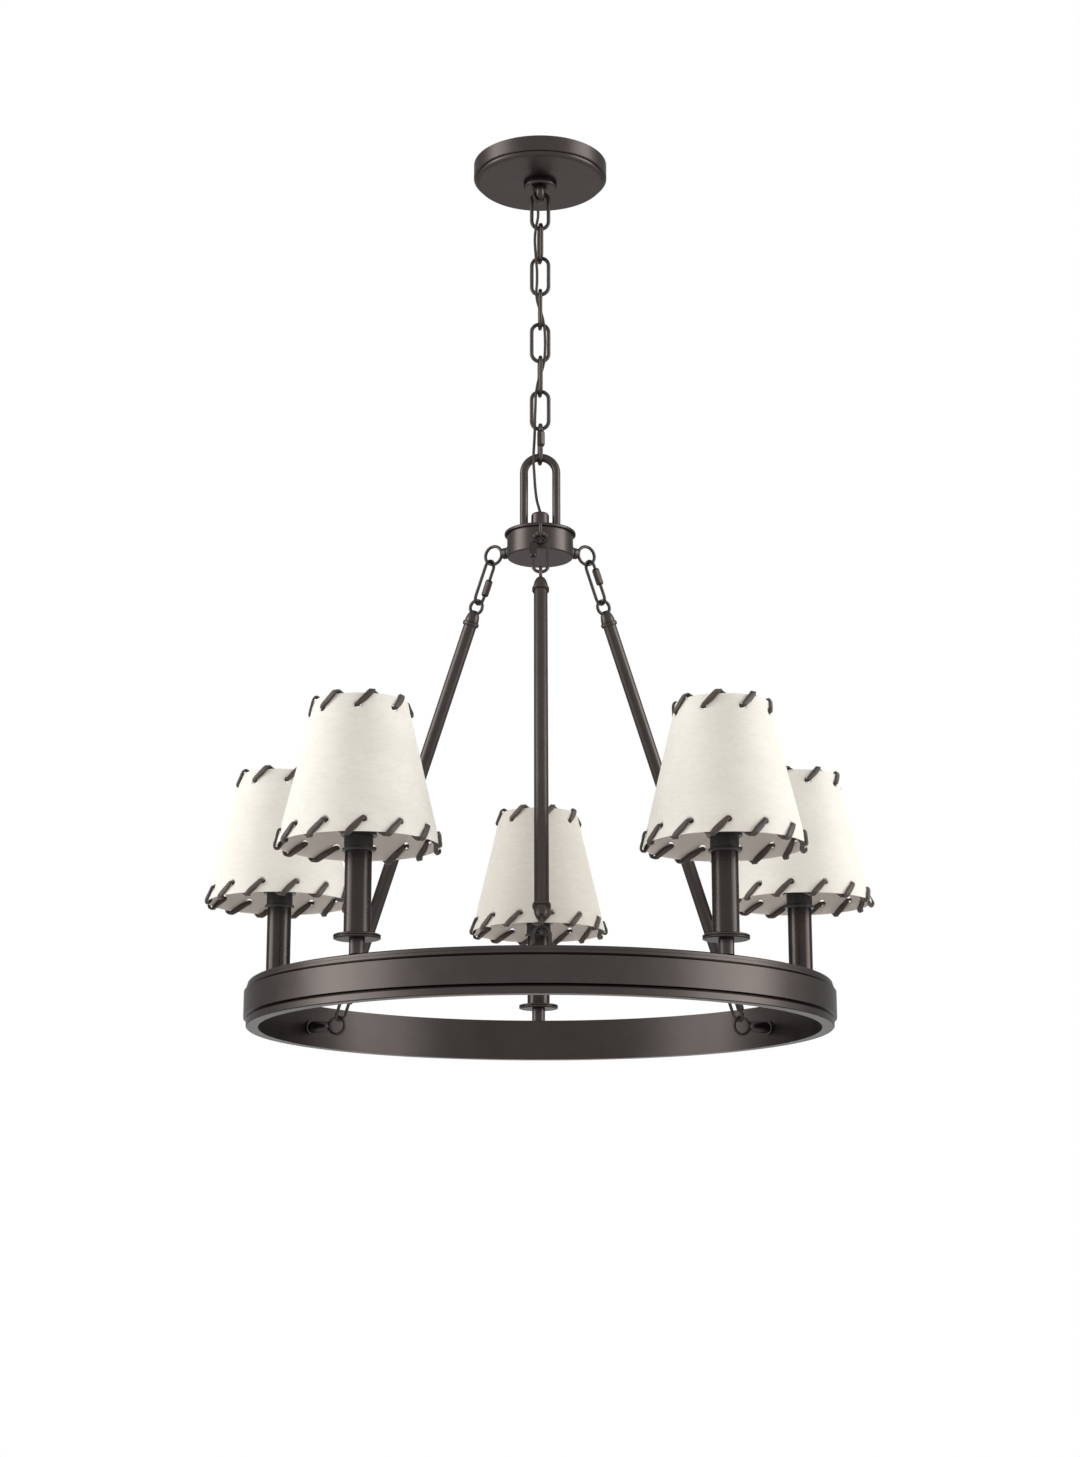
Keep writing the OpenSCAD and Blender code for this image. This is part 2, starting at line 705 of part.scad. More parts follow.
// Stem that shows under the dish, with a threaded tail in the band and a pipe up to the socket
module lamp_stems() color([0.2, 0.18, 0.16])
    at_lamps()
        difference() {
            union() {
                translate([0, 0, ring_top - tail_len])
                    cylinder(d = tail_d, h = tail_len + 1);
                translate([0, 0, ring_top])
                    cylinder(d = lamp_stem_d, h = lamp_stem_h);
                translate([0, 0, ring_top + lamp_stem_h - 1])
                    cylinder(d = pipe_d, h = candle_top - 12 - dish_bottom + 1);
            }
            translate([0, 0, ring_top - tail_len - 1])
                cylinder(d = tail_bore, h = tail_len + 4);
            translate([0, 0, ring_top + 2])
                cylinder(d = pipe_bore, h = candle_top - ring_top);
        }

// Round dish with two rolled edges and a groove between them
module drip_dishes() color([0.2, 0.18, 0.16])
    at_lamps()
        translate([0, 0, dish_bottom])
            rotate_extrude()
                polygon([
                    [pipe_d / 2 + fit, 0], [dish_d / 2 - 1.2, 0], [dish_d / 2 - 0.2, dish_t * 0.12],
                    [dish_d / 2, dish_t * 0.28], [dish_d / 2 - 0.2, dish_t * 0.42],
                    [dish_d / 2 - 0.8, dish_t * 0.5], [dish_d / 2 - 0.2, dish_t * 0.58],
                    [dish_d / 2, dish_t * 0.72], [dish_d / 2 - 0.2, dish_t * 0.88],
                    [dish_d / 2 - 1.2, dish_t], [dish_d / 2 - 3, dish_t], [dish_d / 2 - 4, dish_t - 0.9],
                    [candle_d / 2 + 1.4, dish_t - 0.9],
                    [candle_d / 2 + 0.6, dish_t], [pipe_d / 2 + fit, dish_t]
                ]);

// Plain tube that hides the pipe
module candle_sleeves() color([0.2, 0.18, 0.16])
    at_lamps()
        translate([0, 0, candle_bottom])
            difference() {
                cylinder(d = candle_d, h = candle_h);
                translate([0, 0, -1])
                    cylinder(d = candle_d - 2 * candle_wall, h = candle_h + 2);
            }

// Black socket: a spigot in the sleeve, a collar, a flange, a shoulder and a threaded neck
collar_d = socket_d + 3.1;
flange_d = socket_d + 5.6;
module sockets() color([0.05, 0.05, 0.05])
    at_lamps()
        translate([0, 0, candle_top])
            rotate_extrude()
                polygon([
                    [pipe_d / 2 + fit, -12], [candle_d / 2 - candle_wall - fit, -12],
                    [candle_d / 2 - candle_wall - fit, 0], [collar_d / 2 - 0.6, 0], [collar_d / 2, 0.8],
                    [collar_d / 2, 2.4], [socket_d / 2, 3.2], [socket_d / 2, 13], [flange_d / 2, 13],
                    [flange_d / 2, 17.4], [socket_d / 2, 17.6], [socket_d / 2, socket_h - socket_neck_h],
                    [socket_neck_r, socket_h - socket_neck_h], [socket_neck_r, socket_h - 0.6],
                    [socket_neck_r - 0.6, socket_h], [socket_bore / 2, socket_h],
                    [socket_bore / 2, socket_h - socket_depth], [2.5, socket_h - socket_depth],
                    [2.5, -8], [pipe_d / 2 + fit, -8]
                ]);

// Inner radius of the shade's wall at a height
function shade_inner_r(z) =
    shade_top_d / 2 + (shade_top - z) / shade_h * (shade_bottom_d - shade_top_d) / 2
    - shade_wall / cos(shade_lean);

// Washer on the socket's shoulder with the three arms that reach up to the hoop
hoop_mean = shade_inner_r(hoop_z) - fitter_wire / 2 - near_gap;
hoop_flat = 0.2;
hoop_seat = hoop_z - fitter_wire / 2 + hoop_flat;
module shade_fitters() color([0.55, 0.5, 0.42])
    at_lamps() {
        translate([0, 0, shoulder_z])
            difference() {
                cylinder(r = socket_neck_r + 6.4, h = fitter_t);
                translate([0, 0, -1])
                    cylinder(r = socket_neck_r + fit, h = fitter_t + 2);
            }
        foot = [socket_neck_r + 4.6, 0, shoulder_z + fitter_t / 2];
        head = [hoop_mean, 0, hoop_z];
        for (a = [0, 120, 240])
            rotate([0, 0, a + 60])
                intersection() {
                    translate(foot)
                        rotate([0, atan2(head.x - foot.x, head.z - foot.z), 0])
                            cylinder(d = fitter_wire, h = norm(head - foot));
                    translate([0, -fitter_wire, shoulder_z])
                        cube([shade_top_d, 2 * fitter_wire, hoop_seat - shoulder_z]);
                }
    }

// Wire hoop that carries the shade, flattened below where it lies on the arms
module fitter_hoops() color([0.55, 0.5, 0.42])
    at_lamps()
        translate([0, 0, hoop_seat])
            rotate_extrude()
                intersection() {
                    translate([hoop_mean, fitter_wire / 2 - hoop_flat])
                        circle(d = fitter_wire);
                    translate([hoop_mean - fitter_wire, 0])
                        square(2 * fitter_wire);
                }

// Black ring that screws down on the fitter's washer
module shade_rings() color([0.05, 0.05, 0.05])
    at_lamps()
        translate([0, 0, shoulder_z + fitter_t])
            rotate_extrude()
                polygon([
                    [socket_neck_r + fit, 0], [socket_neck_r + 2.2, 0], [socket_neck_r + 3, 0.8],
                    [socket_neck_r + 3, 4.2], [socket_neck_r + 2.2, 5], [socket_neck_r + fit, 5]
                ]);

// Leather cone with a row of punched holes along each rim
module shade(turn) {
    wall = shade_wall / cos(shade_lean);
    difference() {
        translate([0, 0, shade_bottom])
            cylinder(d1 = shade_bottom_d, d2 = shade_top_d, h = shade_h, $fn = 72);
        translate([0, 0, shade_bottom])
            cylinder(d1 = shade_bottom_d - 2 * wall, d2 = shade_top_d - 2 * wall, h = shade_h, $fn = 72);
        for (i = [0:stitches_bottom - 1])
            rotate([0, 0, turn + 360 / stitches_bottom * i])
                translate([shade_bottom_d / 2 - 12, 0, shade_bottom + hole_in * cos(shade_lean)])
                    rotate([0, 90, 0])
                        cylinder(d = lace_hole_d, h = 14, $fn = 24);
        for (i = [0:stitches_top - 1])
            rotate([0, 0, turn + 360 / stitches_top * i])
                translate([shade_top_d / 2 - 8, 0, shade_top - hole_in * cos(shade_lean)])
                    rotate([0, 90, 0])
                        cylinder(d = lace_hole_d, h = 14, $fn = 24);
    }
}
module shades() color([0.9, 0.88, 0.83])
    for (i = [0:lamp_count - 1])
        rotate([0, 0, lamp_angles[i]])
            translate([lamp_r, 0, 0])
                rotate([0, 0, -lamp_angles[i]])
                    shade(lace_turn[i]);

// One stitch of the lace: share of a stitch round the rim, way in from the rim,
// side of the wall (1 outside, -1 inside, 0 in the hole or under the rim), the way the flat side looks
// and share of the lace's width, as the lace narrows in the hole
stitch = [
    [0, 1, 0, [0, 1], 0.7], [0.03, 0.94, 1.1, [1, 0.35], 0.72], [0.19, 0.45, 1, [1, 0], 1],
    [0.35, -0.07, 1.1, [1, -0.35], 0.95], [0.4, -0.22, 0, [0, -1], 0.9],
    [0.45, -0.07, -1.1, [-1, -0.35], 0.95], [0.7, 0.45, -1, [-1, 0], 1],
    [0.97, 0.94, -1.1, [-1, 0.35], 0.72]
];

// A flat lace that winds round one rim as one closed strip
// way is 1 for a rim at the top and -1 at the bottom
module rim_lace(rim_r, rim_z, count, way, turn) {
    stand_off = shade_wall / 2 + lace_t / 2 + near_gap;
    sn = sin(shade_lean);
    cs = cos(shade_lean);
    steps = [for (i = [0:count - 1]) for (p = stitch) let (a = turn + way * 360 / count * (i + p[0]))
        let (inward = p[1] * hole_in)
        let (r = rim_r - shade_wall / 2 + way * inward * sn + p[2] * stand_off * cs)
        let (z = rim_z - way * inward * cs + p[2] * stand_off * sn)
        let (look = unit(p[3]))
        let (n_r = look.x * cs + way * look.y * sn)
        let (n_z = look.x * sn - way * look.y * cs)
        [[r * cos(a), r * sin(a), z], [n_r * cos(a), n_r * sin(a), n_z], p[4] * lace_w]];
    n = len(steps);
    corners = [for (i = [0:n - 1])
        let (t = unit(steps[(i + 1) % n][0] - steps[(i + n - 1) % n][0]))
        let (b = unit(cross(t, steps[i][1])))
        let (f = cross(b, t))
        for (c = [[-1, -1], [1, -1], [1, 1], [-1, 1]])
            steps[i][0] + b * c.x * steps[i][2] / 2 + f * c.y * lace_t / 2];
    walls = [for (i = [0:n - 1]) for (k = [0:3])
        let (a = i * 4 + k)
        let (b = i * 4 + (k + 1) % 4)
        let (c = ((i + 1) % n) * 4 + k)
        let (d = ((i + 1) % n) * 4 + (k + 1) % 4)
        each [[a, c, b], [b, c, d]]];
    polyhedron(points = corners, faces = walls, convexity = 10);
}
module laces() color([0.16, 0.12, 0.1])
    for (i = [0:lamp_count - 1])
        rotate([0, 0, lamp_angles[i]])
            translate([lamp_r, 0, 0])
                rotate([0, 0, -lamp_angles[i]]) {
                    rim_lace(shade_bottom_d / 2, shade_bottom, stitches_bottom, -1, lace_turn[i]);
                    rim_lace(shade_top_d / 2, shade_top, stitches_top, 1, lace_turn[i]);
                }

crossbar();
nipple();
lock_nut();
canopy_loop();
canopy();
ring_nut();
chain_link(1);  // link_1
chain_link(2);  // link_2
chain_link(3);  // link_3
chain_link(4);  // link_4
chain_link(5);  // link_5
chain_link(6);  // link_6
chain_link(7);  // link_7
chain_link(8);  // link_8
chain_sleeve();
cord_stretch(0);  // cord_0
cord_stretch(1);  // cord_1
cord_stretch(2);  // cord_2
cord_stretch(3);  // cord_3
cord_stretch(4);  // cord_4
cord_stretch(5);  // cord_5
cord_stretch(6);  // cord_6
cord_stretch(7);  // cord_7
cord_stretch(8);  // cord_8
cord_stretch(9);  // cord_9
stirrup();
cord_cap();
hub_plate();
hub_cup();
hub_eyes();
quick_top(0);  // quick_top_1
quick_top(1);  // quick_top_2
quick_top(2);  // quick_top_3
sleeve_top(0);  // sleeve_top_1
sleeve_top(1);  // sleeve_top_2
sleeve_top(2);  // sleeve_top_3
rod(0);  // rod_1
rod(1);  // rod_2
rod(2);  // rod_3
rod_ends(0);  // rod_ends_1
rod_ends(1);  // rod_ends_2
rod_ends(2);  // rod_ends_3
quick_low(0);  // quick_low_1
quick_low(1);  // quick_low_2
quick_low(2);  // quick_low_3
sleeve_low(0);  // sleeve_low_1
sleeve_low(1);  // sleeve_low_2
sleeve_low(2);  // sleeve_low_3
ring_band();
ring_eyes();
lamp_stems();
drip_dishes();
candle_sleeves();
sockets();
shade_fitters();
fitter_hoops();
shade_rings();
shades();
laces();
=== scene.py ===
"""Dresses the five-light ring chandelier: laced leather shades, bronze fittings, chain and supply cord."""

import logging
import math
from collections.abc import Iterable, Sequence
from dataclasses import dataclass, field, replace
from enum import Enum

import bpy
from mathutils import Matrix, Vector


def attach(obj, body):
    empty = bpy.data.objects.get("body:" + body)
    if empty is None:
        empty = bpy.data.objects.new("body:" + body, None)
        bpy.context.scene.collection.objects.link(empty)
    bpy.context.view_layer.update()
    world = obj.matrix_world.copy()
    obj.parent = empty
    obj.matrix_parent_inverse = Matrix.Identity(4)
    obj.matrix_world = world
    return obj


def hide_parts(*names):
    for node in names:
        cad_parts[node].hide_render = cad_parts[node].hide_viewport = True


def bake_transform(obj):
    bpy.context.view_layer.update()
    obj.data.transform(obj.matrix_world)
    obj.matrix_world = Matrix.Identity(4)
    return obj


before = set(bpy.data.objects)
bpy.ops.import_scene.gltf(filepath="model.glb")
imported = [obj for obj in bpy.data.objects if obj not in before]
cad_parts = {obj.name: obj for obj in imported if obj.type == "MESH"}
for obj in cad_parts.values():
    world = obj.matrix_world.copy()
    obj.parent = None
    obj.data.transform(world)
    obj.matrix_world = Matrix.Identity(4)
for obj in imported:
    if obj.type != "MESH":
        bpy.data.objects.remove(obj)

LOG = logging.getLogger("chandelier")
MM = 0.001
INNER_SIDE = "inner_side"
PAINTED_HIDE_SHADE = "hide_tone"
MIX_COLOURS = (6, 7)
MIX_RESULT = 2
Colour = tuple[float, float, float]
Point = tuple[float, float, float]
Outline = Sequence[tuple[float, float]]


class Slot(Enum):
    """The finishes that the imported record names."""

    BRONZE = "bronze"
    STEEL = "steel"
    BRASS = "brass"
    CORD = "cord"
    FITTER = "fitter"
    SOCKET = "socket"
    SHADE = "shade"
    LACE = "lace"


class Rim(Enum):
    """A rim of a shade, with 1 where its edge lies above the wall and -1 where it lies below."""

    BOTTOM = -1
    TOP = 1


# Node trees


class Value:
    """A number in a node tree that takes part in arithmetic."""

    def __init__(self, nodes: "Nodes", socket: bpy.types.NodeSocket) -> None:
        """Wraps one output socket of the tree."""
        self.nodes = nodes
        self.socket = socket

    def math(self, operation: str, first: object, second: object = 0.0) -> "Value":
        """Adds one Math node.

        Args:
            operation: The node's operation.
            first: Its first value, a number or a Value.
            second: Its second value, a number or a Value.

        Returns:
            The node's result.
        """
        made = self.nodes.node("ShaderNodeMath", {"operation": operation}, {0: first, 1: second})
        return Value(self.nodes, made.outputs[0])

    def __add__(self, other: object) -> "Value":
        """self + other."""
        return self.math("ADD", self, other)

    def __radd__(self, other: object) -> "Value":
        """other + self."""
        return self.math("ADD", other, self)

    def __sub__(self, other: object) -> "Value":
        """self - other."""
        return self.math("SUBTRACT", self, other)

    def __rsub__(self, other: object) -> "Value":
        """other - self."""
        return self.math("SUBTRACT", other, self)

    def __mul__(self, other: object) -> "Value":
        """self * other."""
        return self.math("MULTIPLY", self, other)

    def __rmul__(self, other: object) -> "Value":
        """other * self."""
        return self.math("MULTIPLY", other, self)

    def __truediv__(self, other: object) -> "Value":
        """self / other."""
        return self.math("DIVIDE", self, other)

    def __rtruediv__(self, other: object) -> "Value":
        """other / self."""
        return self.math("DIVIDE", other, self)

    def __lt__(self, other: object) -> "Value":
        """1 where self is below other."""
        return self.math("LESS_THAN", self, other)

    def apply(self, operation: str) -> "Value":
        """One of the Math node's functions of a single value."""
        return self.math(operation, self)

    def eased(self, low: float, high: float) -> "Value":
        """Eases the value from 0 to 1 between two of its levels.

        Args:
            low: The level up to which the result is 0.
            high: The level from which it is 1.

        Returns:
            The eased value.
        """
        made = self.nodes.node(
            "ShaderNodeMapRange", {"interpolation_type": "SMOOTHSTEP"}, {0: self, 1: low, 2: high}
        )
        return Value(self.nodes, made.outputs[0])


class Nodes:
    """Adds nodes to one tree."""

    def __init__(self, tree: bpy.types.NodeTree) -> None:
        """Keeps the tree that the nodes go into."""
        self.tree = tree

    def node(
        self, kind: str, settings: dict[str, object] | None = None, inputs: dict[object, object] | None = None
    ) -> bpy.types.Node:
        """Adds a node.

        Args:
            kind: The node's type.
            settings: Its properties, which are set first.
            inputs: Values, links or Values for its inputs, by name or place.

        Returns:
            The new node.
        """
        made = self.tree.nodes.new(kind)
        for key, setting in (settings or {}).items():
            setattr(made, key, setting)
        for key, value in (inputs or {}).items():
            source = value.socket if isinstance(value, Value) else value
            if isinstance(source, bpy.types.NodeSocket):
                self.tree.links.new(source, made.inputs[key])
            else:
                made.inputs[key].default_value = source
        return made

    def value(
        self, kind: str, settings: dict[str, object] | None, inputs: dict[object, object], out: object = 0
    ) -> Value:
        """Adds a node and wraps one of its outputs."""
        return Value(self, self.node(kind, settings, inputs).outputs[out])


class Surface(Nodes):
    """The node tree of one material."""

    def __init__(self, name: str) -> None:
        """Makes an empty material.

        Args:
            name: The material's name.
        """
        self.material = bpy.data.materials.new(name)
        self.material.use_nodes = True
        super().__init__(self.material.node_tree)
        self.tree.nodes.clear()
        self.place = self.node("ShaderNodeTexCoord").outputs["Object"]

    def stretched(self, scale: Point) -> bpy.types.NodeSocket:
        """The object's own coordinates, stretched along each axis."""
        return self.node("ShaderNodeMapping", None, {"Vector": self.place, "Scale": scale}).outputs[0]

    def noise(self, scale: float, detail: float = 3, rough: float = 0.5, at: object = None) -> Value:
        """A soft noise from 0 to 1, with scale in waves a metre."""
        inputs = {"Vector": at or self.place, "Scale": scale, "Detail": detail, "Roughness": rough}
        return self.value("ShaderNodeTexNoise", None, inputs)

    def pebbles(self, scale: float) -> Value:
        """Soft pebbles, with scale in pebbles a metre."""
        inputs = {"Vector": self.place, "Scale": scale}
        return self.value("ShaderNodeTexVoronoi", {"feature": "SMOOTH_F1"}, inputs)

    def marked(self, name: str) -> bpy.types.NodeSocket:
        """A number from 0 to 1 that the mesh carries under that name."""
        return self.node("ShaderNodeAttribute", {"attribute_name": name}).outputs["Fac"]

    def blend(
        self, share: object, first: Colour | bpy.types.NodeSocket, second: Colour
    ) -> bpy.types.NodeSocket:
        """Blends two colours.

        Args:
            share: How much of the second colour there is, from 0 to 1.
            first: The colour at 0, or a link to one.
            second: The colour at 1.

        Returns:
            The blended colour.
        """
        ends = [(*c, 1) if isinstance(c, tuple) else c for c in (first, second)]
        inputs = {0: share} | dict(zip(MIX_COLOURS, ends, strict=True))
        return self.node("ShaderNodeMix", {"data_type": "RGBA"}, inputs).outputs[MIX_RESULT]

    def bumps(self, height: Value, depth: float) -> bpy.types.NodeSocket:
        """The normal of a surface with that relief, depth in metres."""
        return self.node("ShaderNodeBump", None, {"Distance": depth, "Height": height}).outputs[0]

    def finished(self, inputs: dict[str, object]) -> bpy.types.Material:
        """Joins the shader to the output.

        Args:
            inputs: The shader's values and links by name.

        Returns:
            The finished material.
        """
        shader = self.node("ShaderNodeBsdfPrincipled", None, inputs)
        self.node("ShaderNodeOutputMaterial", None, {"Surface": shader.outputs[0]})
        return self.material


# Finishes


@dataclass(frozen=True)
class Metal:
    """A metal finish, plain or painted.

    Attributes:
        name: The material's name.
        colour: The finish's main colour.
        worn: The colour of its lighter patches.
        roughness: How matt it is.
        edge: How strongly it mirrors at a glancing angle.
        speckle: The depth of its fine grain, in metres.
        groove_shade_heights: Heights of the grooves that painted shade darkens, in metres.
        groove_shade_from: The radius outside which that painted shade lies.
        groove_shade_colour: The colour of the painted shade in those grooves.
        groove_shade_fade: Where the painted shade begins to fade and where it ends, from a groove's middle.
    """

    name: str
    colour: Colour
    worn: Colour
    roughness: float
    edge: float = 1.0
    speckle: float = 0.00002
    groove_shade_heights: tuple[float, ...] = ()
    groove_shade_from: float = 0.0
    groove_shade_colour: Colour = (0.008, 0.006, 0.005)
    groove_shade_fade: tuple[float, float] = (0.0006, 0.0014)

    def painted_groove_shade_mask(self, surface: Surface) -> object:
        """Shows where the grooves are.

        Args:
            surface: The material's nodes.

        Returns:
            A value that is 1 where painted shade darkens a groove, or plain 0 for a finish without grooves.
        """
        mask: object = 0.0
        if not self.groove_shade_heights:
            return mask
        parts = surface.node("ShaderNodeSeparateXYZ", None, {0: surface.place}).outputs
        x, y, z = (Value(surface, part) for part in parts)
        outside = 1 - ((x * x + y * y).apply("SQRT") < self.groove_shade_from)
        # Painted shade: a dark band round each groove on the outer face.
        for groove_height in self.groove_shade_heights:
            mask = (1 - (z - groove_height).apply("ABSOLUTE").eased(*self.groove_shade_fade)) * outside + mask
        return mask

    def material(self) -> bpy.types.Material:
        """Builds the material.

        Returns:
            The finished material.
        """
        surface = Surface(self.name)
        clouds = surface.noise(scale=38, detail=4, rough=0.6)
        grain = surface.noise(scale=1500, detail=2, rough=0.6)
        patches = (clouds * 0.75 + grain * 0.25).eased(0.38, 0.68)
        relief = grain * 0.7 + surface.noise(scale=420, detail=3) * 0.3
        plain = surface.blend(patches, self.colour, self.worn)
        return surface.finished(
            {
                "Base Color": surface.blend(self.painted_groove_shade_mask(surface), plain, self.groove_shade_colour),
                "Metallic": 1.0,
                "Specular Tint": (self.edge, self.edge, self.edge, 1),
                "Roughness": (clouds - 0.5) * 0.07 + (grain - 0.5) * 0.08 + self.roughness,
                "Normal": surface.bumps(relief, self.speckle),
            }
        )


@dataclass(frozen=True)
class Plastic:
    """Moulded plastic, such as a socket's body.

    Attributes:
        name: The material's name.
        colour: Its colour.
        dust: The colour of the faint dust on it.
        roughness: How matt it is.
        texture: The depth of its fine texture, in metres.
    """

    name: str
    colour: Colour
    dust: Colour
    roughness: float
    texture: float = 0.00001

    def material(self) -> bpy.types.Material:
        """Builds the material.

        Returns:
            The finished material.
        """
        surface = Surface(self.name)
        clouds = surface.noise(scale=60, detail=4)
        fine = surface.noise(scale=2400, detail=2)
        return surface.finished(
            {
                "Base Color": surface.blend(clouds.eased(0.45, 0.8) * 0.5, self.colour, self.dust),
                "Roughness": (clouds - 0.5) * 0.2 + self.roughness,
                "Normal": surface.bumps(fine, self.texture),
            }
        )


@dataclass(frozen=True)
class Leather:
    """Leather with its grain, for the shades' walls and for the laces.

    Attributes:
        name: The material's name.
        colour: Its main colour.
        patch: The colour of its soft patches.
        crease_shade: The colour of the painted shade in its creases.
        deep: The colour that painted shade darkens a hide towards, where a piece says how far.
        flesh_and_shade: The colour of its rough inner side, where a piece marks that side: the flesh side's
            own colour, darkened further as painted shade.
        roughness: How matt it is.
        pores: The grain's pebbles a metre.
        relief: The depth of the grain, in metres.
        crease_shade_strength: How strongly the painted shade in the creases shows.
        drawn: How much closer together the creases lie along each axis.
    """

    name: str
    colour: Colour
    patch: Colour
    crease_shade: Colour
    deep: Colour
    flesh_and_shade: Colour
    roughness: float
    pores: float
    relief: float
    crease_shade_strength: float = 0.35
    drawn: tuple[float, float, float] = (0.55, 0.55, 1.7)

    def material(self) -> bpy.types.Material:
        """Builds the material.

        Returns:
            The finished material.
        """
        surface = Surface(self.name)
        pebble = surface.pebbles(self.pores)
        clouds = surface.noise(scale=26, detail=4, rough=0.55)
        waves = surface.noise(scale=80, detail=5, rough=0.6, at=surface.stretched(self.drawn))
        folds = (waves - 0.5).apply("ABSOLUTE")
        # Painted shade: the creases are darkened towards the crease colour.
        creases = (1 - folds.eased(0.0, 0.05)) * self.crease_shade_strength
        dyed = surface.blend(clouds.eased(0.35, 0.7), self.colour, self.patch)
        # Painted shade: each lampshade is darkened by the share it carries, most the back one.
        shaded_hide = surface.blend(surface.marked(PAINTED_HIDE_SHADE), dyed, self.deep)
        outer = surface.blend(creases, shaded_hide, self.crease_shade)
        relief = pebble * 0.5 + folds * 0.7 + surface.noise(scale=self.pores * 2.5, detail=2) * 0.25
        # The inner side's colour is partly the flesh side's own and partly painted shade.
        return surface.finished(
            {
                "Base Color": surface.blend(surface.marked(INNER_SIDE), outer, self.flesh_and_shade),
                "Roughness": (pebble - 0.5) * 0.15 + self.roughness,
                "Specular IOR Level": 0.35,
                "Normal": surface.bumps(relief, self.relief),
            }
        )


@dataclass(frozen=True)
class Braid:
    """The supply cord's woven sleeve, drawn along the cord's own coordinates.

    Attributes:
        name: The material's name.
        colour: The yarn's colour.
        deep: The colour between the yarns.
        yarns: Yarns round the cord.
        pitch: Length of one turn of a yarn, in metres.
        relief: The height of the yarns, in metres.
    """

    name: str
    colour: Colour
    deep: Colour
    yarns: int
    pitch: float
    relief: float = 0.0002

    def material(self) -> bpy.types.Material:
        """Builds the material.

        Returns:
            The finished material.
        """
        surface = Surface(self.name)
        on_cord = surface.node("ShaderNodeUVMap").outputs[0]
        parts = surface.node("ShaderNodeSeparateXYZ", None, {0: on_cord}).outputs
        turn = Value(surface, parts[0]) * float(self.yarns)
        run = Value(surface, parts[1]) * (self.yarns / self.pitch)
        left = ((turn + run) * math.pi).apply("SINE").apply("ABSOLUTE")
        right = ((turn - run) * math.pi).apply("SINE").apply("ABSOLUTE")
        weave = left.math("MAXIMUM", left, right)
        yarn = weave.eased(0.45, 0.95) * 0.8 + surface.noise(scale=900, detail=2) * 0.2
        return surface.finished(
            {
                "Base Color": surface.blend(yarn, self.deep, self.colour),
                "Roughness": 0.78 - yarn * 0.14,
                "Specular IOR Level": 0.3,
                "Normal": surface.bumps(weave, self.relief),
            }
        )


class Finishes:
    """Every material on the object, by the record's slot."""

    bronze = Metal(
        name="bronze_paint",
        colour=(0.0545, 0.0468, 0.0437),
        worn=(0.0605, 0.052, 0.0486),
        roughness=0.36,
        edge=0.5,
    )
    # The ring's grooves get painted shade at these heights.
    ring = replace(bronze, name="ring_bronze", groove_shade_heights=(-0.8223, -0.7977), groove_shade_from=0.2545)
    # The sleeves' copy of the bronze, darker and glossier: its darker colour is painted shade.
    sleeve = replace(
        bronze,
        name="sleeve_bronze",
        colour=(0.038, 0.0325, 0.03),
        worn=(0.043, 0.037, 0.0342),
        roughness=0.27,
    )
    steel = Metal(name="zinc_plate", colour=(0.52, 0.52, 0.5), worn=(0.66, 0.66, 0.63), roughness=0.34)
    brass = Metal(name="bright_brass", colour=(0.62, 0.43, 0.17), worn=(0.72, 0.53, 0.25), roughness=0.26)
    fitter = Metal(name="dull_nickel", colour=(0.42, 0.38, 0.32), worn=(0.52, 0.48, 0.42), roughness=0.4)
    socket = Plastic(
        name="black_socket", colour=(0.009, 0.0075, 0.007), dust=(0.03, 0.026, 0.023), roughness=0.45
    )
    shade = Leather(
        name="pale_hide",
        colour=(0.815, 0.785, 0.72),
        patch=(0.85, 0.825, 0.765),
        crease_shade=(0.73, 0.69, 0.61),
        deep=(0.58, 0.545, 0.485),
        flesh_and_shade=(0.71, 0.655, 0.61),
        roughness=0.62,
        pores=900,
        relief=0.00011,
        crease_shade_strength=0.3,
    )
    lace = Leather(
        name="dark_lace",
        colour=(0.046, 0.034, 0.028),
        patch=(0.075, 0.057, 0.047),
        crease_shade=(0.02, 0.014, 0.011),
        deep=(0.03, 0.022, 0.018),
        flesh_and_shade=(0.05, 0.037, 0.03),
        roughness=0.5,
        pores=1600,
        relief=0.0002,
    )
    cord = Braid(
        name="brown_braid", colour=(0.075, 0.052, 0.04), deep=(0.012, 0.008, 0.006), yarns=8, pitch=0.009
    )

    def __init__(self) -> None:
        """Builds the materials."""
        kinds = {
            Slot.BRONZE: self.bronze,
            Slot.STEEL: self.steel,
            Slot.BRASS: self.brass,
            Slot.FITTER: self.fitter,
            Slot.SOCKET: self.socket,
            Slot.SHADE: self.shade,
            Slot.LACE: self.lace,
            Slot.CORD: self.cord,
        }
        self.made = {slot: kind.material() for slot, kind in kinds.items()}
        # The sleeves and candle sleeves get the darker bronze, whose darkness is painted shade.
        shaded_bronze = self.sleeve.material()
        self.special = {"ring_band": self.ring.material(), "candle_sleeves": shaded_bronze, "chain_sleeve": shaded_bronze}
        self.special |= {f"sleeve_{end}_{i}": shaded_bronze for end in ("top", "low") for i in (1, 2, 3)}

    def __getitem__(self, slot: Slot) -> bpy.types.Material:
        """The material of one slot."""
        return self.made[slot]

    def of_node(self, name: str, slot: Slot) -> bpy.types.Material:
        """The material of one CAD node, its own where it has one."""
        return self.special.get(name, self.made[slot])


# Mesh helpers


